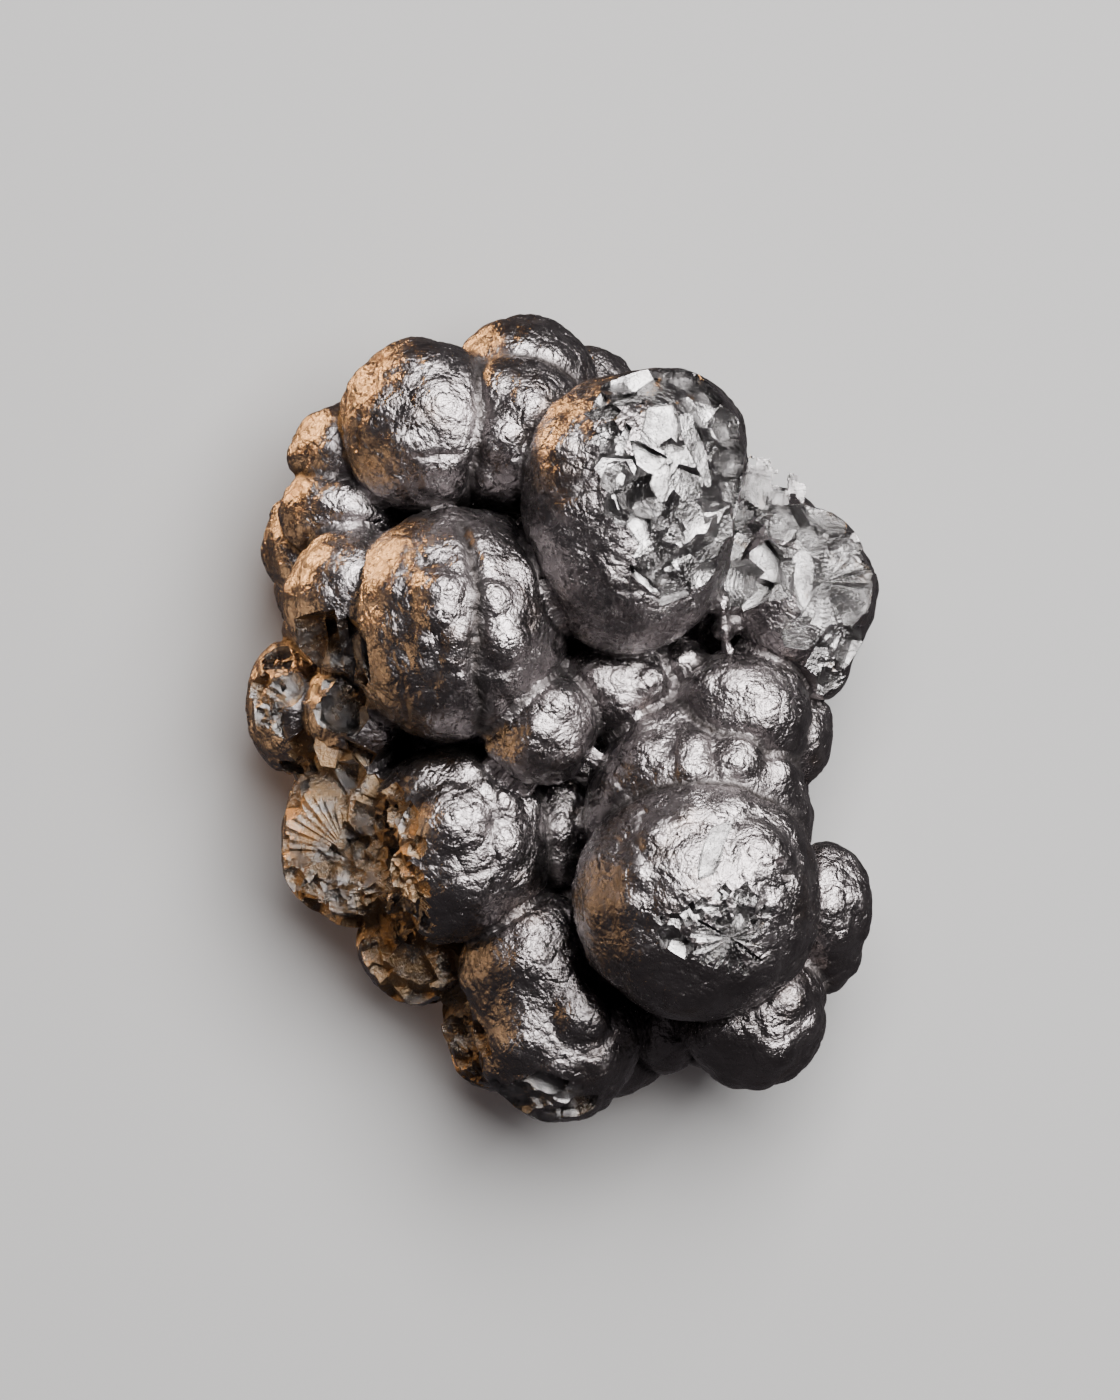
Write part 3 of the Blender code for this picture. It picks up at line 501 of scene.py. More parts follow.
# Where the lobes are broken. Each ground: its outline in plan, the spacing, size, bite and tilt of its small
# facets, where its fibres radiate from, how brown it is, its crumbly spots (x, y, radius), its larger facets
# (x, y, bite, radius, lean x, lean y), those with an outline of their own (outline, bite, lean x, lean y),
# and its shell-like hollows (x, y, bite, radius, lean x, lean y).
grounds = {
    "domeTop": dict(
        outline=[
            (5, 50.5), (9, 53.5), (15, 56), (22, 54.5), (26, 51), (29, 44), (29.5, 37), (27, 31), (26, 24),
            (24, 20.5), (19, 19.8), (15, 20.5), (11, 24), (9.5, 30), (8, 35), (8, 41), (6, 46)],
        spacing=4.2, size=(3, 5), bite=(.5, 1.3), tilt=.36, grain=(13, 34, 38), stain=.1,
        grit=[(17.5, 29, 2.6), (14, 34.5, 1.6), (16.5, 24.5, 2), (10, 40, 2), (8, 45, 1.6)],
        chips=[
            (20, 42, 1.9, 3.4, .55, .15), (14, 34, 3, 2.2, -.2, 0), (16, 26, 2.6, 1.6, -.3, -.3),
            (17, 22.5, 2.2, 1.5, -.2, -.5), (19, 21.5, 1.3, 3.2, .35, -.45), (21.5, 37.5, 2.3, 3.4, .7, .25),
            (25, 49.5, 1.4, 3.4, .6, .6), (26.5, 44.5, 1.4, 3.6, .9, .3), (15.5, 53, 1.2, 3.6, .2, .9),
            (27, 47.5, 2.8, 3, 1.2, .6), (27.8, 41.5, 2.8, 3.2, 1.4, .1), (27.4, 36.5, 2.6, 2.8, 1.3, -.2),
            (24, 52.5, 2.4, 2.8, .9, 1), (20, 55, 2.2, 2.8, .3, 1.4)],
        facets=[
            ([(13.3, 45.8), (14, 49.6), (18, 50), (18.8, 47), (18.5, 43.5), (17.3, 42)], 1.5, .36, .28),
            ([(11.5, 43.8), (13, 43.6), (17, 41.6), (15, 39), (12.5, 39.5)], 1.7, .3, .3),
            ([(15, 39.5), (17.5, 40.5), (17.2, 37), (16.3, 34.5), (15.3, 35.5), (14.5, 37.5)], 1.8, .34, .22),
            ([(8.8, 43), (10.5, 46.7), (11.2, 46), (9.7, 41.3)], 1.1, .3, .3),
            ([(5.6, 50.6), (6.6, 52), (7.5, 51), (6.4, 50)], .9, .4, .3),
            ([(4, 48.5), (8, 50), (9.5, 49), (8.5, 47.8), (5.5, 47.7)], 1, -.3, .8),
            ([(8, 51.5), (13.3, 52), (13, 50.2), (9, 50)], 1.2, 0, 1),
            ([(10.8, 31), (12, 32.2), (14.2, 31.5), (14.5, 28), (13.6, 27.3), (12, 29)], 1.4, .36, .25),
            ([(8.2, 35.5), (8.8, 36), (9.4, 33.5), (8.7, 32)], .8, .33, .25),
            ([(11.5, 24), (13, 23.5), (16, 20.3), (14.5, 20.3), (12.3, 22.3)], 1.2, .33, .2),
            ([(22.8, 51), (24.2, 51.7), (24.8, 48.5), (23.3, 47.5)], 1.2, .36, .3),
            ([(24, 46.5), (25.2, 46.3), (27.6, 43.3), (26.5, 43.5), (24.3, 45.2)], 1.4, .36, .27),
            ([(19, 48.5), (21, 49), (23.3, 43), (24.5, 37.5), (23.3, 37), (21.5, 41), (19.5, 45)],
             2.2, .7, .2)],
        shells=[(21.6, 31.5, 1.9, 11, .5, .05), (22.6, 24.4, 1.5, 8, .6, -.15), (27, 40.5, .9, 16, .9, .15)]),
    "horn": dict(
        outline=[
            (27, 37), (33, 38), (40, 35.5), (46, 32), (49.5, 24), (50.5, 17), (46, 10), (44.5, 5), (41.5, 4),
            (40, 10), (38.5, 15), (35, 20.5), (30, 17), (27, 20), (26.5, 28)],
        spacing=4.8, size=(3.4, 5.2), bite=(.6, 1.5), tilt=.34, grain=(39, 21, 38), stain=.25,
        grit=[(46, 27.5, 3), (32.5, 34, 2), (45.5, 13, 2), (43.5, 6.5, 2)],
        chips=[
            (28.8, 22, 3.6, 2.4, -.7, .2), (36, 31.5, 2.4, 2.6, .1, .6), (46, 27.5, 1.8, 3, .7, .6),
            (35, 33.5, 2, 4, .1, 1.2), (43, 33, 2, 4, .3, 1.4), (42, 9, 1.5, 3.2, .6, -.1),
            (36, 24, 3, 1.8, -.2, -.2), (45, 12.5, 2.6, 1.8, -.2, .1)],
        facets=[
            ([(30.2, 26.8), (33.5, 28.3), (35, 26), (34.8, 22.3), (33, 21.3), (30.5, 23.5)], 2.3, .36, .27),
            ([(26.5, 27), (27, 30.5), (29, 31.7), (31, 30), (30, 26.5), (27.5, 25.5)], 2.2, .05, .12),
            ([(27.3, 16), (28.5, 19.5), (31, 22), (34, 21.5), (32, 19), (29, 17)], 1.6, .1, .55),
            ([(37.5, 22), (37.3, 26), (38.8, 27.3), (40.8, 25), (40.2, 18), (39.6, 16.5), (38.3, 19)],
             1.7, .34, .22),
            ([(37.8, 30), (40.5, 31.8), (42.3, 28), (42, 24.8), (39.5, 27)], 2.6, -.1, 1),
            ([(37, 29.5), (38.2, 30), (40.8, 25.5), (40.3, 24.8)], 2, .5, .5),
            ([(41.3, 16.5), (42.6, 20.5), (44.8, 18), (46, 16), (43.5, 13.3)], 1.8, .36, .25)],
        shells=[(30.5, 33, 2, 7, .1, .5)]),
    "leftBreak": dict(
        outline=[
            (-47, -9), (-43, -7), (-38.5, -2), (-34, -4), (-31, -7), (-30.5, -12), (-25, -13), (-24, -17),
            (-22, -20), (-22.5, -28), (-21, -36), (-15.5, -36), (-17, -41), (-15.5, -45), (-12, -49),
            (-12, -60), (-20, -51), (-28, -44.5), (-36, -36), (-44, -27), (-46, -18)],
        # The left break's strong stain is partly a real ochre stain and partly painted warm gold light.
        spacing=3.0, size=(1.6, 3.6), bite=(.5, 1.9), tilt=.34, grain=(-34, -20, 34), stain=1.15,
        grit=[
            (-28, -20, 4), (-27, -28, 5), (-31, -31, 4.5), (-32, -14, 3), (-24.5, -33, 3), (-41, -28, 3.5),
            (-36, -33, 3), (-17, -51, 4), (-15, -57, 3), (-44, -10, 2.5)],
        chips=[
            (-35, -8, 3.4, 2.6, -.3, -.3), (-30.2, -13.5, 3.6, 1.6, -.6, .1), (-27, -14.4, 2.8, 2, -.2, .8),
            (-30, -35.5, 2.6, 4, -.7, -.7), (-37, -31, 2.2, 3.4, -.8, -.7), (-24, -41, 2.6, 4.4, -.3, -.4),
            (-18, -46, 2.2, 4, -.5, -.2), (-15.5, -53, 1.8, 4, -.9, -.4)],
        facets=[
            ([(-43, -8), (-37, -8), (-34.5, -12), (-34, -19), (-36, -19), (-42, -11)], 3, -.1, .7),
            ([(-33.7, -4.2), (-30.2, -5.8), (-31, -8.2), (-32.6, -6.6)], 2, .36, .27),
            ([(-20, -37), (-15.2, -35), (-17, -40)], 1.8, .36, .3),
            ([(-28.5, -36.5), (-22.5, -37), (-20, -42), (-24.5, -44)], 3, .1, -.5),
            ([(-27.8, -15.8), (-25.2, -15.3), (-26.5, -18.6)], 1.6, -.8, .3)],
        shells=[]),
    "heartShoulder": dict(
        outline=[
            (-43, 16), (-38, 17), (-36, 14), (-33.5, 15), (-31.8, 8), (-31, 2), (-31, -3), (-34.5, -4),
            (-38.5, -1), (-40, 5), (-42, 11)],
        spacing=3.2, size=(1, 2), bite=(.2, .9), tilt=.35, grain=(-28, 8, 18), stain=.8,
        grit=[
            (-34.5, 11, 2.6), (-33.5, 5, 2.4), (-36, 2, 2.6), (-47.5, 5, 2), (-47, .5, 2), (-45.5, 9.5, 1.6)],
        chips=[],
        facets=[
            ([(-43, 16), (-38, 16.2), (-37.3, 13), (-39, 7), (-40.5, 6.5), (-42, 10)], 2.6, .1, -.6),
            ([(-37.5, 15), (-36, 15.5), (-34.5, 8), (-35.2, 2), (-36.5, 6)], .5, -.75, .4),
            ([(-36, 15.5), (-34, 15.8), (-32.8, 9), (-33.4, 3), (-34.8, 7)], 1.2, .3, -.5),
            ([(-34, 15.8), (-32.2, 14), (-31.2, 6), (-32, 2), (-33.2, 5)], .6, -.8, .3),
            ([(-32.2, 14), (-31, 12), (-30.2, 6), (-30.6, 3), (-31.3, 7)], .4, .36, .26),
            ([(-38.5, 3.5), (-34, 4), (-32.5, 2), (-33, -1), (-36, -1.2), (-38, 0)], 3, 0, -.7),
            ([(-33, 1), (-31.5, 2.5), (-30.7, 0), (-33, -3.2), (-34, -2.4)], 1, -.8, .3)],
        shells=[(-43.4, 6, 1.3, 5.5, -.25, .1)]),
    "globeFace": dict(
        outline=[
            (15.5, -30), (20, -29), (24, -28), (28, -26), (31, -28.5), (33.5, -31), (30, -33.5), (24, -33.5),
            (18, -34.5), (16, -33)],
        spacing=1.9, size=(.6, 1.3), bite=(0, .5), tilt=.45, grain=(22, -28, 52), stain=.15, grit=[],
        chips=[(19, -36.3, 1, 1.7, .36, .2), (17.5, -34, .9, 2, 0, -.6), (29.5, -31, 1.3, 1.6, -.3, -.5)],
        facets=[
            ([(27, -16), (24, -17.2), (22.6, -21), (22, -25), (24.3, -24), (25.4, -21), (27.3, -17)],
             .9, .3, .22)],
        shells=[]),
    "toe": dict(
        outline=[(-9, -58), (-4, -57), (2, -59), (5, -62), (0, -65), (-6, -64.5), (-11, -61)],
        spacing=2.6, size=(1.3, 2.8), bite=(.3, 1.3), tilt=.35, grain=(0, -50, 33), stain=.5,
        grit=[(-8, -60.5, 2)],
        chips=[(-7.5, -61.5, 1.6, 3, -.4, -1), (3, -62.5, 1.4, 2.8, .4, -1)],
        facets=[([(-6.5, -58.3), (-3, -57.3), (.6, -58.3), (0, -60.2), (-5, -60.4)], 1.5, .15, -.05)],
        shells=[]),
}

# The fans, where a lobe split in half: centre, the way the face looks, reach, blades, relief, dish.
fans = {
    "leftFan": ((-34.5, -21.5, 38), (-.5, -.05, .86), 13.5, 76, .55, .1),
    "globeFan": ((27, -34.5, 69.3), (.2, -.34, .92), 7.5, 30, 1.4, .1),
    "hornFan": ((42.3, 22, 48.6), (.66, -.02, .75), 9, 36, 1.2, .1),
}

# The left fan's brown is partly a real ochre stain and partly painted warm gold light.
fanStain = {"leftFan": 1, "globeFan": .2, "hornFan": .3}  # how brown each one is

# Broken columns over a part of a fan: their number, sector in plan, reach, bite, size, tilt and height.
fanColumns = {
    "leftFan": dict(
        count=110, turn=(-2.3, 1), away=(1.5, 12.5), bite=(.3, 1.7), size=(.7, 1.8), tilt=.42, height=3.5),
}

# The broken lower edge: facets all round it, which look outward and down.
rim = dict(
    chips=13, radii=(31.5, 41), height=(2, 4.5), droop=(.9, 1.9), size=(8, 13), depth=13, seed=23,
    crumbs=150, crumbHeight=(1, 15), crumbSize=(1.6, 3.8), crumbBite=(.4, 1.6), crumbTilt=.5,
    grain=(0, 0, 30), stain=.6,
)

cuts = dict(
    sides=(5, 6), spread=(.65, 1.2), stray=.3, clearance=1.2, slope=(14, 40), seed=5, farAway=200,
    facetSlope=.25, facetRoom=3.5, facetDeeper=.9, slabHalf=90, slabDeep=20,
    gritStep=1.15, gritSize=(.45, 1), gritBite=(1.3, 2.6), gritTilt=.55,
    # creviceWidth and the seam factor set how wide the painted crevice shade is and how dark the seams are
    # painted.
    sharpAngle=34, creviceWidth=.75, seamShade=.8,
    fanRings=5, fanHeight=.75, fanFlare=1.1, bladeReach=(.8, 1), bladeGroove=(.2, 1), bladeCrest=(-1, -.1),
    bladeCurve=.8,
    ripple=(1.15, .07), shellSteps=4,
)


class Surface:  # the grown ore's surface, for setting a cutter where it bites
    def __init__(self, data):
        points = readPoints(data)
        data.calc_loop_triangles()
        corners = np.empty(len(data.loop_triangles) * 3, np.int32)
        data.loop_triangles.foreach_get("vertices", corners)
        self.tree = BVHTree.FromPolygons(points.tolist(), corners.reshape(-1, 3).tolist())

    def above(self, x, y):
        hit = self.tree.ray_cast(Vector((x, y, cuts["farAway"])), Vector((0, 0, -1)))
        return hit[0], hit[1]

    def beside(self, turn, height):
        way = Vector((math.cos(turn), math.sin(turn), 0))
        hit = self.tree.ray_cast(way * cuts["farAway"] + Vector((0, 0, height)), -way)
        return hit[0], hit[1]


def facing(at, way):
    return Matrix.Translation(at) @ Vector(way).to_track_quat("Z", "Y").to_matrix().to_4x4()


def prism(low, high):  # a closed block between two outlines with as many points each
    n = len(low)
    sides = [(i, (i + 1) % n, n + (i + 1) % n, n + i) for i in range(n)]
    return [tuple(range(n))[::-1], tuple(range(n, 2 * n)), *sides], [*low, *high]


def chipCutter(at, way, radius, height, chance):
    sides = chance.randint(*cuts["sides"])
    turn = chance.uniform(0, math.tau)
    low, high = [], []
    for i in range(sides):
        angle = turn + math.tau * (i + chance.uniform(-cuts["stray"], cuts["stray"])) / sides
        inner = radius * chance.uniform(*cuts["spread"])
        outer = inner + height * math.tan(math.radians(chance.uniform(*cuts["slope"])))
        low.append((inner * math.cos(angle), inner * math.sin(angle), 0))
        high.append((outer * math.cos(angle), outer * math.sin(angle), height))
    turned = facing(at, way)
    return prism([turned @ Vector(p) for p in low], [turned @ Vector(p) for p in high])


def facetCutter(outline, bite, lean, surface):
    middle = Vector((sum(p[0] for p in outline), sum(p[1] for p in outline))) / len(outline)
    at, _ = surface.above(*middle)
    low = []
    for x, y in outline:
        low.append(Vector((x, y, at.z - bite - lean[0] * (x - middle.x) - lean[1] * (y - middle.y))))
    tops = [surface.above(*p)[0] for p in outline]
    top = min(max(t.z for t in tops if t), at.z + cuts["facetRoom"]) + cuts["clearance"]
    high = []
    for point in low:
        away = (point.xy - middle) * (1 + cuts["facetSlope"] * (top - point.z) / (point.xy - middle).length)
        high.append(Vector((*(middle + away), top)))
    return prism(low, high)


def fanCutter(at, way, reach, blades, relief, dish, chance):
    angles = [math.tau * (i + chance.uniform(-cuts["stray"], cuts["stray"])) / blades for i in range(blades)]
    pleats = [relief * chance.uniform(*cuts["bladeGroove" if i % 2 else "bladeCrest"]) for i in range(blades)]
    reaches = [reach * chance.uniform(*cuts["bladeReach"]) for _ in range(blades)]
    points = [(0, 0, 0), (0, 0, reach * cuts["fanHeight"])]
    for ring in range(1, cuts["fanRings"] + 2):
        share = ring / cuts["fanRings"]
        for angle, pleat, blade in zip(angles, pleats, reaches):
            if share <= 1:
                away = blade * share
                height = dish * away + pleat * share ** cuts["bladeCurve"]
            else:
                away = blade * cuts["fanFlare"]
                height = reach * cuts["fanHeight"]
            points.append((away * math.cos(angle), away * math.sin(angle), height))
    faces = []
    last = 2 + cuts["fanRings"] * blades
    for i in range(blades):
        j = (i + 1) % blades
        faces.append((0, 2 + j, 2 + i))
        faces.append((1, last + i, last + j))
        for ring in range(cuts["fanRings"]):
            inner, outer = 2 + ring * blades, 2 + (ring + 1) * blades
            faces.append((inner + i, inner + j, outer + j))
            faces.append((inner + i, outer + j, outer + i))
    turned = facing(at, way)
    return faces, [turned @ Vector(p) for p in points]


def columnCutters(at, way, look, chance):
    way = Vector(way).normalized()
    for _ in range(look["count"]):
        turn, away = chance.uniform(*look["turn"]), chance.uniform(*look["away"])
        x, y = away * math.cos(turn), away * math.sin(turn)
        spot = Vector(at) + Vector((x, y, -(way.x * x + way.y * y) / way.z))
        lean = way + Vector([chance.gauss(0, look["tilt"]) for _ in range(3)])
        spot -= way * chance.uniform(*look["bite"])
        yield chipCutter(spot, lean, chance.uniform(*look["size"]), look["height"], chance)


def shellCutter(at, way, radius, bite, chance):  # a rippled ball, which leaves a shell-like hollow
    ball = bmesh.new()
    bmesh.ops.create_icosphere(ball, subdivisions=cuts["shellSteps"], radius=1)
    way = Vector(way).normalized()
    middle = Vector(at) + way * (radius - bite)
    angle = chance.uniform(0, math.tau)
    across = way.to_track_quat("Z", "Y") @ Vector((math.cos(angle), math.sin(angle), 0))
    strike = Vector(at) + across * math.sqrt(2 * radius * bite)
    size, height = cuts["ripple"]
    points = []
    for v in ball.verts:
        point = middle + v.co * radius
        gap = (point - strike).length
        points.append(point + v.co * height * math.sin(math.tau * gap / size))
    faces = [tuple(v.index for v in f.verts) for f in ball.faces]
    ball.free()
    return faces, points


def inside(x, y, outline):
    crossed = False
    for (ax, ay), (bx, by) in zip(outline, outline[1:] + outline[:1]):
        if (ay > y) != (by > y) and x < (bx - ax) * (y - ay) / (by - ay) + ax:
            crossed = not crossed
    return crossed


def groundCutters(ground, surface, chance):
    outline, step = ground["outline"], ground["spacing"]
    low, high = np.min(outline, axis=0), np.max(outline, axis=0)
    for x in np.arange(low[0], high[0], step):
        for y in np.arange(low[1], high[1], step):
            px, py = x + chance.uniform(-.5, .5) * step, y + chance.uniform(-.5, .5) * step
            size, bite = chance.uniform(*ground["size"]), chance.uniform(*ground["bite"])
            tilt = Vector((chance.gauss(0, ground["tilt"]), chance.gauss(0, ground["tilt"]), 0))
            at, normal = surface.above(px, py)
            free = not any(inside(px, py, facet[0]) for facet in ground["facets"])
            if at and free and inside(px, py, outline):
                way = (normal + tilt).normalized()
                yield chipCutter(at - way * bite, way, size, bite + cuts["clearance"], chance)
    for middleX, middleY, radius in ground["grit"]:
        for _ in range(round(math.pi * (radius / cuts["gritStep"]) ** 2)):
            turn, away = chance.uniform(0, math.tau), radius * math.sqrt(chance.random())
            at, normal = surface.above(middleX + away * math.cos(turn), middleY + away * math.sin(turn))
            bite = chance.uniform(*cuts["gritBite"])
            tilt = Vector((chance.gauss(0, cuts["gritTilt"]), chance.gauss(0, cuts["gritTilt"]), 0))
            if at:
                way = (normal + tilt).normalized()
                size = chance.uniform(*cuts["gritSize"])
                yield chipCutter(at - way * bite, way, size, bite + cuts["clearance"], chance)
    for x, y, bite, radius, *lean in ground["chips"]:
        at, _ = surface.above(x, y)
        way = Vector((*lean, 1)).normalized()
        yield chipCutter(at - way * bite, way, radius, bite + cuts["clearance"], chance)
    for x, y, bite, radius, *lean in ground["shells"]:
        at, _ = surface.above(x, y)
        yield shellCutter(at, (*lean, 1), radius, bite, chance)
    for facet, bite, *lean in ground["facets"]:
        yield facetCutter(facet, bite + cuts["facetDeeper"], lean, surface)


def rimCutters(surface, chance):
    for i in range(rim["chips"]):
        turn = math.tau * (i + chance.uniform(-cuts["stray"], cuts["stray"])) / rim["chips"]
        across = Vector((math.cos(turn), math.sin(turn), 0))
        at = (rim["radii"][0] * across.x, rim["radii"][1] * across.y, chance.uniform(*rim["height"]))
        way = across - Vector((0, 0, chance.uniform(*rim["droop"])))
        yield chipCutter(at, way, chance.uniform(*rim["size"]), rim["depth"], chance)
    for _ in range(rim["crumbs"]):
        at, normal = surface.beside(chance.uniform(0, math.tau), chance.uniform(*rim["crumbHeight"]))
        way = normal + Vector([chance.gauss(0, rim["crumbTilt"]) for _ in range(3)])
        bite = chance.uniform(*rim["crumbBite"])
        size = chance.uniform(*rim["crumbSize"])
        yield chipCutter(at - way.normalized() * bite, way, size, bite + cuts["clearance"], chance)


def cutterObject(name, shapes, material, cutters):
    for i, (faces, points) in enumerate(shapes):
        cutter = newObject(f"{name}{i}", [tuple(p) for p in points], faces)
        cutter.data.materials.append(material)
        solid = bmesh.new()
        solid.from_mesh(cutter.data)
        bmesh.ops.triangulate(solid, faces=solid.faces)
        bmesh.ops.recalc_face_normals(solid, faces=solid.faces)
        solid.to_mesh(cutter.data)
        solid.free()
        bpy.context.scene.collection.objects.unlink(cutter)
        cutters.objects.link(cutter)


def breakOre(ore):
    surface = Surface(ore.data)
    chance = random.Random(cuts["seed"])
    cutters = bpy.data.collections.new("cutters")
    bpy.context.scene.collection.children.link(cutters)
    for name, ground in grounds.items():
        broken = makeBroken(f"{name}Break", ground["grain"], ground["stain"])
        cutterObject(name, groundCutters(ground, surface, chance), broken, cutters)
    for name, fan in fans.items():
        shapes = [fanCutter(*fan, chance)]
        if name in fanColumns:
            shapes += columnCutters(*fan[:2], fanColumns[name], random.Random(cuts["seed"]))
        cutterObject(name, shapes, makeBroken(f"{name}Break", fan[0], fanStain[name]), cutters)
    rimChance = random.Random(rim["seed"])
    rough = makeBroken("rimBreak", rim["grain"], rim["stain"])
    cutterObject("rim", rimCutters(surface, rimChance), rough, cutters)
    half = cuts["slabHalf"]
    corners = [(-half, -half), (half, -half), (half, half), (-half, half)]
    slab = prism(*[[Vector((x, y, z)) for x, y in corners] for z in (-cuts["slabDeep"], 0)])
    cutterObject("ground", [slab], rough, cutters)
    say(f"{len(cutters.objects)} cutters")
    cut = ore.modifiers.new("cut", "BOOLEAN")
    cut.operand_type = "COLLECTION"
    cut.collection = cutters
    cut.solver = "MANIFOLD"
    cut.material_mode = "TRANSFER"
    before = len(ore.data.polygons)
    applyModifiers(ore)
    say(f"broken: {before} faces to {len(ore.data.polygons)}")
    for cutter in list(cutters.objects):
        bpy.data.objects.remove(cutter)
    bpy.data.collections.remove(cutters)


def nodeTree(material):
    material.use_nodes = True
    tree = material.node_tree
    shader = tree.nodes["Principled BSDF"]
    return tree, shader


class Nodes:  # a short way to write one material's nodes
    def __init__(self, name):
        self.material = bpy.data.materials.new(name)
        self.tree, self.shader = nodeTree(self.material)
        self.place = self.add("ShaderNodeTexCoord").outputs["Object"]

    def add(self, kind, links=(), **settings):
        node = self.tree.nodes.new(kind)
        for key, value in settings.items():
            if hasattr(node, key):
                setattr(node, key, value)
            else:
                node.inputs[key.replace("_", " ")].default_value = value
        for key, source in dict(links).items():
            self.tree.links.new(source, node.inputs[key])
        return node

    def noise(self, scale, detail, rough=.5, vector=None, w=None):
        links = {"Vector": vector or self.place}
        if w:
            links["W"] = w
        node = self.add("ShaderNodeTexNoise", links, noise_dimensions="4D" if w else "3D",
                        Scale=scale, Detail=detail, Roughness=rough)
        return node.outputs["Fac"]

    def math(self, operation, a, b):
        node = self.add("ShaderNodeMath", operation=operation)
        for socket, value in zip(node.inputs, (a, b)):
            if isinstance(value, (int, float)):
                socket.default_value = value
            else:
                self.tree.links.new(value, socket)
        return node.outputs[0]

    def spread(self, value, low, high, fromLow=0, fromHigh=1):
        node = self.add("ShaderNodeMapRange", {"Value": value})
        for key, number in zip(("From Min", "From Max", "To Min", "To Max"), (fromLow, fromHigh, low, high)):
            node.inputs[key].default_value = number
        return node.outputs["Result"]

    def colours(self, value, stops):
        ramp = self.add("ShaderNodeValToRGB", {"Fac": value})
        for element, (position, colour) in zip(ramp.color_ramp.elements, stops):
            element.position = position
            element.color = (*colour, 1)
        return ramp.outputs["Color"]

    def mix(self, share, a, b):
        node = self.add("ShaderNodeMix", data_type="RGBA")
        for key, value in ((0, share), (6, a), (7, b)):
            if isinstance(value, tuple):
                node.inputs[key].default_value = (*value, 1)
            else:
                self.tree.links.new(value, node.inputs[key])
        return node.outputs[2]

    def attribute(self, name):
        return self.add("ShaderNodeAttribute", attribute_name=name).outputs["Fac"]

    def bump(self, height, distance, normal=None):
        node = self.add("ShaderNodeBump", {"Height": height}, Distance=distance)
        if normal:
            self.tree.links.new(normal, node.inputs["Normal"])
        return node.outputs["Normal"]

    def plug(self, **sockets):
        for key, source in sockets.items():
            self.tree.links.new(source, self.shader.inputs[key.replace("_", " ")])


# Each noise: cells per metre, detail and its roughness. Heights of bumps are in metres.
skinLook = dict(
    dark=(.152, .139, .141), light=(.222, .206, .209), cloud=(130, 5, .6), cloudRange=(.36, .66),
    brown=(.13, .09, .065), stain=(90, 6, .65), stainRange=(.56, .72), stainMost=.55,
    # Painted shade: the crevice colour darkens the skin to near black in the valleys between lobes, the seams
    # and the pinholes.
    creviceShade=(.01, .008, .007), creviceRough=.4,
    roughness=(.21, .33), roughCloud=(420, 5, .6), roughRange=(.3, .7),
    creases=430, creaseBend=(300, 2), creaseStray=.0016, creaseEdge=.2, creaseHeight=.00009,
    streaks=(520, 4, .62), streakReach=3.2, streakHeight=.00024,
    dimples=(1000, 4, .6), dimpleHeight=.00024, grit=(2700, 2), gritHeight=.0001,
)


def bentPlace(n, bend, stray):  # the place, moved about a little by noise
    scale, detail = bend
    noise = n.add("ShaderNodeTexNoise", {"Vector": n.place}, Scale=scale, Detail=detail)
    moved = n.add("ShaderNodeVectorMath", {0: noise.outputs["Color"]}, operation="SCALE", Scale=stray)
    return n.add("ShaderNodeVectorMath", {0: n.place, 1: moved.outputs[0]}, operation="ADD").outputs[0]


def makeSkin():
    look = skinLook
    n = Nodes("satinSkin")
    n.shader.inputs["Metallic"].default_value = 1
    creviceShade = n.attribute("creviceShade")
    metal = n.colours(n.noise(*look["cloud"]), list(zip(look["cloudRange"], (look["dark"], look["light"]))))
    stain = n.spread(n.noise(*look["stain"]), 0, look["stainMost"], *look["stainRange"])
    metal = n.mix(stain, metal, look["brown"])
    # Painted shade: near-black colour mixed in along the valleys between lobes, the seams and the pinholes.
    metal = n.mix(creviceShade, metal, look["creviceShade"])
    rough = n.spread(n.noise(*look["roughCloud"]), *look["roughness"], *look["roughRange"])
    rough = n.math("ADD", rough, n.math("MULTIPLY", creviceShade, look["creviceRough"]))
    place = bentPlace(n, look["creaseBend"], look["creaseStray"])
    creases = n.add("ShaderNodeTexVoronoi", {"Vector": place}, feature="DISTANCE_TO_EDGE",
                    Scale=look["creases"])
    normal = n.bump(n.spread(creases.outputs["Distance"], 0, 1, 0, look["creaseEdge"]), look["creaseHeight"])
    reach = n.math("MULTIPLY", n.attribute("reach"), look["streakReach"])
    normal = n.bump(n.noise(*look["streaks"], w=reach), look["streakHeight"], normal)
    normal = n.bump(n.noise(*look["dimples"]), look["dimpleHeight"], normal)
    normal = n.bump(n.noise(*look["grit"]), look["gritHeight"], normal)
    n.plug(Base_Color=metal, Roughness=rough, Normal=normal)
    return n.material


# The stain's range is where it begins and how much sooner that is in a brown break.
brokenLook = dict(
    dark=(.085, .082, .083), light=(.29, .285, .286), cloud=(260, 5, .65), cloudRange=(.36, .62),
    # The ochre is partly a real ochre stain and partly painted warm gold light on the left-hand breaks.
    brown=(.13, .093, .062), ochreAndGoldLight=(.25, .172, .1), stain=(150, 6, .7), stainRange=((.66, .25), (.76, .17)),
    stainRough=.3, roughness=(.07, .17), roughCloud=(500, 5, .6), roughRange=(.35, .65),
    waves=(520, 2, .45), waveHeight=.00026, fibres=(36, 5, .62), fibreHeight=.00024,
    ripples=dict(Scale=420, Distortion=4, Detail=3, Detail_Scale=.5), rippleHeight=.00003,
    grit=(2200, 4, .6), gritHeight=.00009, crumbly=2.5,
)


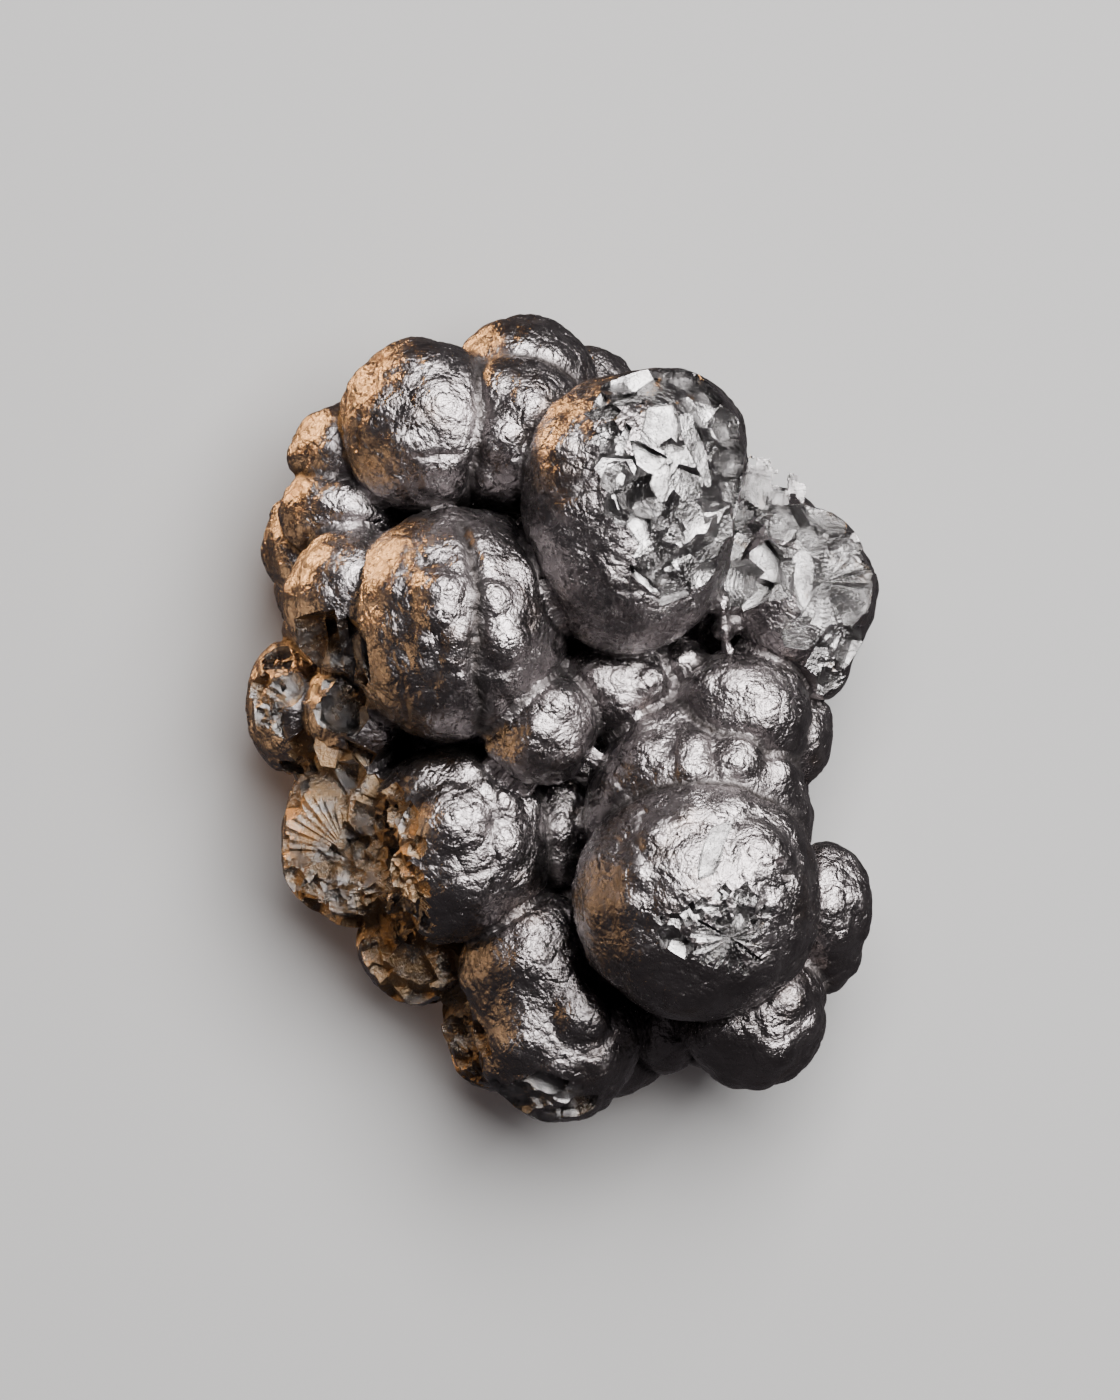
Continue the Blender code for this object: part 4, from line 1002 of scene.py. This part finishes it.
def makeBroken(name, grain, stain):  # grain: where the fibres radiate from; stain: how brown the break is
    look = brokenLook
    n = Nodes(name)
    n.shader.inputs["Metallic"].default_value = 1
    way = n.add("ShaderNodeVectorMath", {0: n.place}, operation="SUBTRACT")
    way.inputs[1].default_value = [c * mm for c in grain]
    unit = n.add("ShaderNodeVectorMath", {0: way.outputs[0]}, operation="NORMALIZE")
    metal = n.colours(n.noise(*look["cloud"]), list(zip(look["cloudRange"], (look["dark"], look["light"]))))
    stainRange = [start - sooner * stain for start, sooner in look["stainRange"]]
    brown = n.spread(n.noise(*look["stain"]), 0, 1, *stainRange)
    # Breaks with a strong stain take the ochre, partly a real stain and partly painted warm gold light.
    earth = tuple(b + (o - b) * min(stain, 1) ** 2 for b, o in zip(look["brown"], look["ochreAndGoldLight"]))
    metal = n.mix(brown, metal, earth)
    rough = n.spread(n.noise(*look["roughCloud"]), *look["roughness"], *look["roughRange"])
    rough = n.math("ADD", rough, n.math("MULTIPLY", brown, look["stainRough"]))
    normal = n.bump(n.noise(*look["waves"]), look["waveHeight"])
    normal = n.bump(n.noise(*look["fibres"], vector=unit.outputs[0]), look["fibreHeight"], normal)
    ripples = n.add("ShaderNodeTexWave", {"Vector": way.outputs[0]}, wave_type="RINGS",
                    rings_direction="SPHERICAL", **look["ripples"])
    normal = n.bump(ripples.outputs["Fac"], look["rippleHeight"], normal)
    crumbly = look["gritHeight"] * (1 + look["crumbly"] * stain)
    normal = n.bump(n.noise(*look["grit"]), crumbly, normal)
    n.plug(Base_Color=metal, Roughness=rough, Normal=normal)
    return n.material


def finishOre(ore, groups):
    slots = ore.data.materials
    skinIndex = slots.find("satinSkin")
    indices = np.empty(len(ore.data.polygons), np.int32)
    ore.data.polygons.foreach_get("material_index", indices)
    ore.data.polygons.foreach_set("use_smooth", indices == skinIndex)
    ore.data.set_sharp_from_angle(angle=math.radians(cuts["sharpAngle"]))
    points = readPoints(ore.data)
    _, out, apex, gap = snapToLobes(points, groups)
    reach = np.linalg.norm(points - apex, axis=1) * mm
    # Painted shade mask: strongest in the valleys between lobes, plus the carved seams and the pinholes.
    creviceShade = np.exp(-(gap / cuts["creviceWidth"]) ** 2) + seamDepths(points, out) * cuts["seamShade"]
    for name, values in (("reach", reach), ("creviceShade", np.clip(creviceShade, 0, 1))):
        ore.data.attributes.new(name, "FLOAT", "POINT").data.foreach_set("value", values.astype(np.float32))
    say(f"{(indices != skinIndex).sum()} broken faces of {len(indices)}, {len(slots)} materials")
    ore.data.update()


ore, groups = growOre()
ore.data.materials.clear()
ore.data.materials.append(makeSkin())
breakOre(ore)
finishOre(ore, groups)
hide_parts("manganese_ore")
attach(ore, "root")


# Two small pieces that stand proud: a block crystal in the left break, and the lacy flake behind the dome.
block = dict(
    foot=[(-39.4, -1.2), (-36.4, -.4), (-35.2, -4.5), (-36, -8.4), (-38.6, -8), (-40, -4.5)],
    low=26, high=43, lean=(.25, -.1), taper=.86, stain=1.1,
)
flake = dict(
    outline=[
        (27, 40), (29.5, 43.4), (32.2, 42.4), (34.6, 42.2), (34.4, 40.6), (36.2, 40.6), (38.6, 39.5),
        (40.1, 37.6), (39.6, 35), (37, 34), (32, 34), (28.5, 36)],
    middle=(30, 37), z=37, step=.32, stray=(.3, .13), slope=(-.24, -.27), wave=(3.2, .7), thick=.28,
    solid=4.5, lace=(1.3, .05), laceEdge=(2.5, .5), grain=(28, 37, 40), stain=.35,
)


def makeBlock():
    foot = [Vector(p) for p in block["foot"]]
    middle = sum(foot, Vector((0, 0))) / len(foot)
    low = [Vector((*p, block["low"])) for p in foot]
    high = []
    for p in foot:
        away = p - middle
        top = block["high"] + block["lean"][0] * away.x + block["lean"][1] * away.y
        high.append(Vector((*(middle + away * block["taper"]), top)))
    faces, points = prism(low, high)
    crystal = newObject("blockCrystal", [tuple(p) for p in points], faces)
    crystal.data.materials.append(makeBroken("blockBreak", (*middle, block["low"]), block["stain"]))
    return crystal


def makeFlake():
    outline = flake["outline"]
    low, high = np.min(outline, axis=0), np.max(outline, axis=0)
    xs, ys = (np.arange(low[i], high[i], flake["step"]) for i in (0, 1))
    grid = np.array([(x, y, 0) for x in xs for y in ys])
    middle = np.array([*flake["middle"], 0])
    (laceSize, level), (edgeSize, edgeLevel) = flake["lace"], flake["laceEdge"]
    away = np.linalg.norm(grid - middle, axis=1)
    level = level + edgeLevel * softNoise(grid, edgeSize, noiseSeeds["laceEdge"])
    kept = np.array([inside(x, y, outline) for x, y, _ in grid])
    kept &= softNoise(grid, laceSize, noiseSeeds["lace"]) < np.where(away < flake["solid"], 1, level)
    size, stray = flake["stray"]
    spots = grid + stray * np.stack([softNoise(grid, size, s) for s in noiseSeeds["sheet"]], axis=1)
    spots[:, 2] = flake["z"] + (grid - middle) @ np.array([*flake["slope"], 0])
    spots[:, 2] += flake["wave"][1] * softNoise(grid, flake["wave"][0], noiseSeeds["sheetWave"])
    rows = len(ys)
    squares = [(i, i + rows, i + rows + 1, i + 1) for i in range(len(grid) - rows - 1) if (i + 1) % rows]
    faces = [square for square in squares if all(kept[i] for i in square)]
    used = sorted({i for face in faces for i in face})
    renumbered = {old: new for new, old in enumerate(used)}
    sheet = newObject("laceFlake", spots[used], [tuple(renumbered[i] for i in face) for face in faces])
    thick = sheet.modifiers.new("thick", "SOLIDIFY")
    thick.thickness = flake["thick"] * mm
    applyModifiers(sheet)
    sheet.data.materials.append(makeBroken("flakeBreak", flake["grain"], flake["stain"]))
    return sheet


for piece in (makeBlock(), makeFlake()):
    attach(piece, "root")


floorLook = dict(size=4, drop=.0005, colour=(.74, .73, .72, 1), roughness=.9)


def makeFloor():
    half = floorLook["size"] / 2 / mm
    corners = [(-half, -half, 0), (half, -half, 0), (half, half, 0), (-half, half, 0)]
    floor = newObject("floor", corners, [(0, 1, 2, 3)])
    material = bpy.data.materials.new("paleFloor")
    _, shader = nodeTree(material)
    shader.inputs["Base Color"].default_value = floorLook["colour"]
    shader.inputs["Roughness"].default_value = floorLook["roughness"]
    floor.data.materials.append(material)
    floor.visible_glossy = False
    floor.location.z = -floorLook["drop"]


makeFloor()

# Each lamp lights the ore or the floor only. Its way is from the target, its size and distance are in metres.
lamps = {
    "softbox": dict(
        way=(.42, .48, .77), far=.62, size=(.56, .38), watts=32, colour=(1, .97, .955), floor=False),
    "goldSide": dict(
        way=(-.72, .62, -.36), far=.5, size=(.14, .05), watts=5.2, colour=(1, .51, .18), floor=False),
    "goldNear": dict(
        way=(-.95, -.2, -.02), far=.125, size=(.05, .03), watts=.05, colour=(1, .6, .28), floor=False),
    "floorSky": dict(
        way=(.25, .35, 1), far=1.0, size=(.7, .7), watts=17, colour=(1, 1, 1), floor=True),
}
studio = dict(target=(0, 0, .04), worldColour=(1, .9, .95, 1), worldStrength=.1)


def makeLamps():
    target = Vector(studio["target"])
    for name, look in lamps.items():
        light = bpy.data.lights.new(name, "AREA")
        light.shape = "RECTANGLE"
        light.size, light.size_y = look["size"]
        light.energy = look["watts"]
        light.color = look["colour"]
        lamp = bpy.data.objects.new(name, light)
        way = Vector(look["way"]).normalized()
        lamp.location = target + way * look["far"]
        lamp.rotation_euler = way.to_track_quat("Z", "Y").to_euler()
        lamp.visible_camera = False
        bpy.context.scene.collection.objects.link(lamp)
        lit = bpy.data.collections.new(f"{name}Lights")
        for piece in bpy.context.scene.objects:
            shown = piece.type == "MESH" and not piece.name.startswith("manganese")
            if shown and (piece.name == "floor") == look["floor"]:
                lit.objects.link(piece)
        lamp.light_linking.receiver_collection = lit
        shading = bpy.data.collections.new(f"{name}Shades")
        shading.objects.link(ore)
        lamp.light_linking.blocker_collection = shading


def makeWorld():
    world = bpy.data.worlds.new("studio")
    world.use_nodes = True
    background = world.node_tree.nodes["Background"]
    background.inputs["Color"].default_value = studio["worldColour"]
    background.inputs["Strength"].default_value = studio["worldStrength"]
    bpy.context.scene.world = world


makeLamps()
makeWorld()

view = dict(millimetresHigh=225.8, away=1.6, plane=40, middle=(0, 3.06), sensor=36, clipEnd=20)


def makeCamera():
    data = bpy.data.cameras.new("camera")
    data.sensor_width = view["sensor"]
    data.lens = view["sensor"] * view["away"] / (view["millimetresHigh"] * mm)
    data.clip_end = view["clipEnd"]
    camera = bpy.data.objects.new("camera", data)
    camera.location = (view["middle"][0] * mm, view["middle"][1] * mm, view["plane"] * mm + view["away"])
    bpy.context.scene.collection.objects.link(camera)
    bpy.context.scene.camera = camera


makeCamera()
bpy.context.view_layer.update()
say("done")
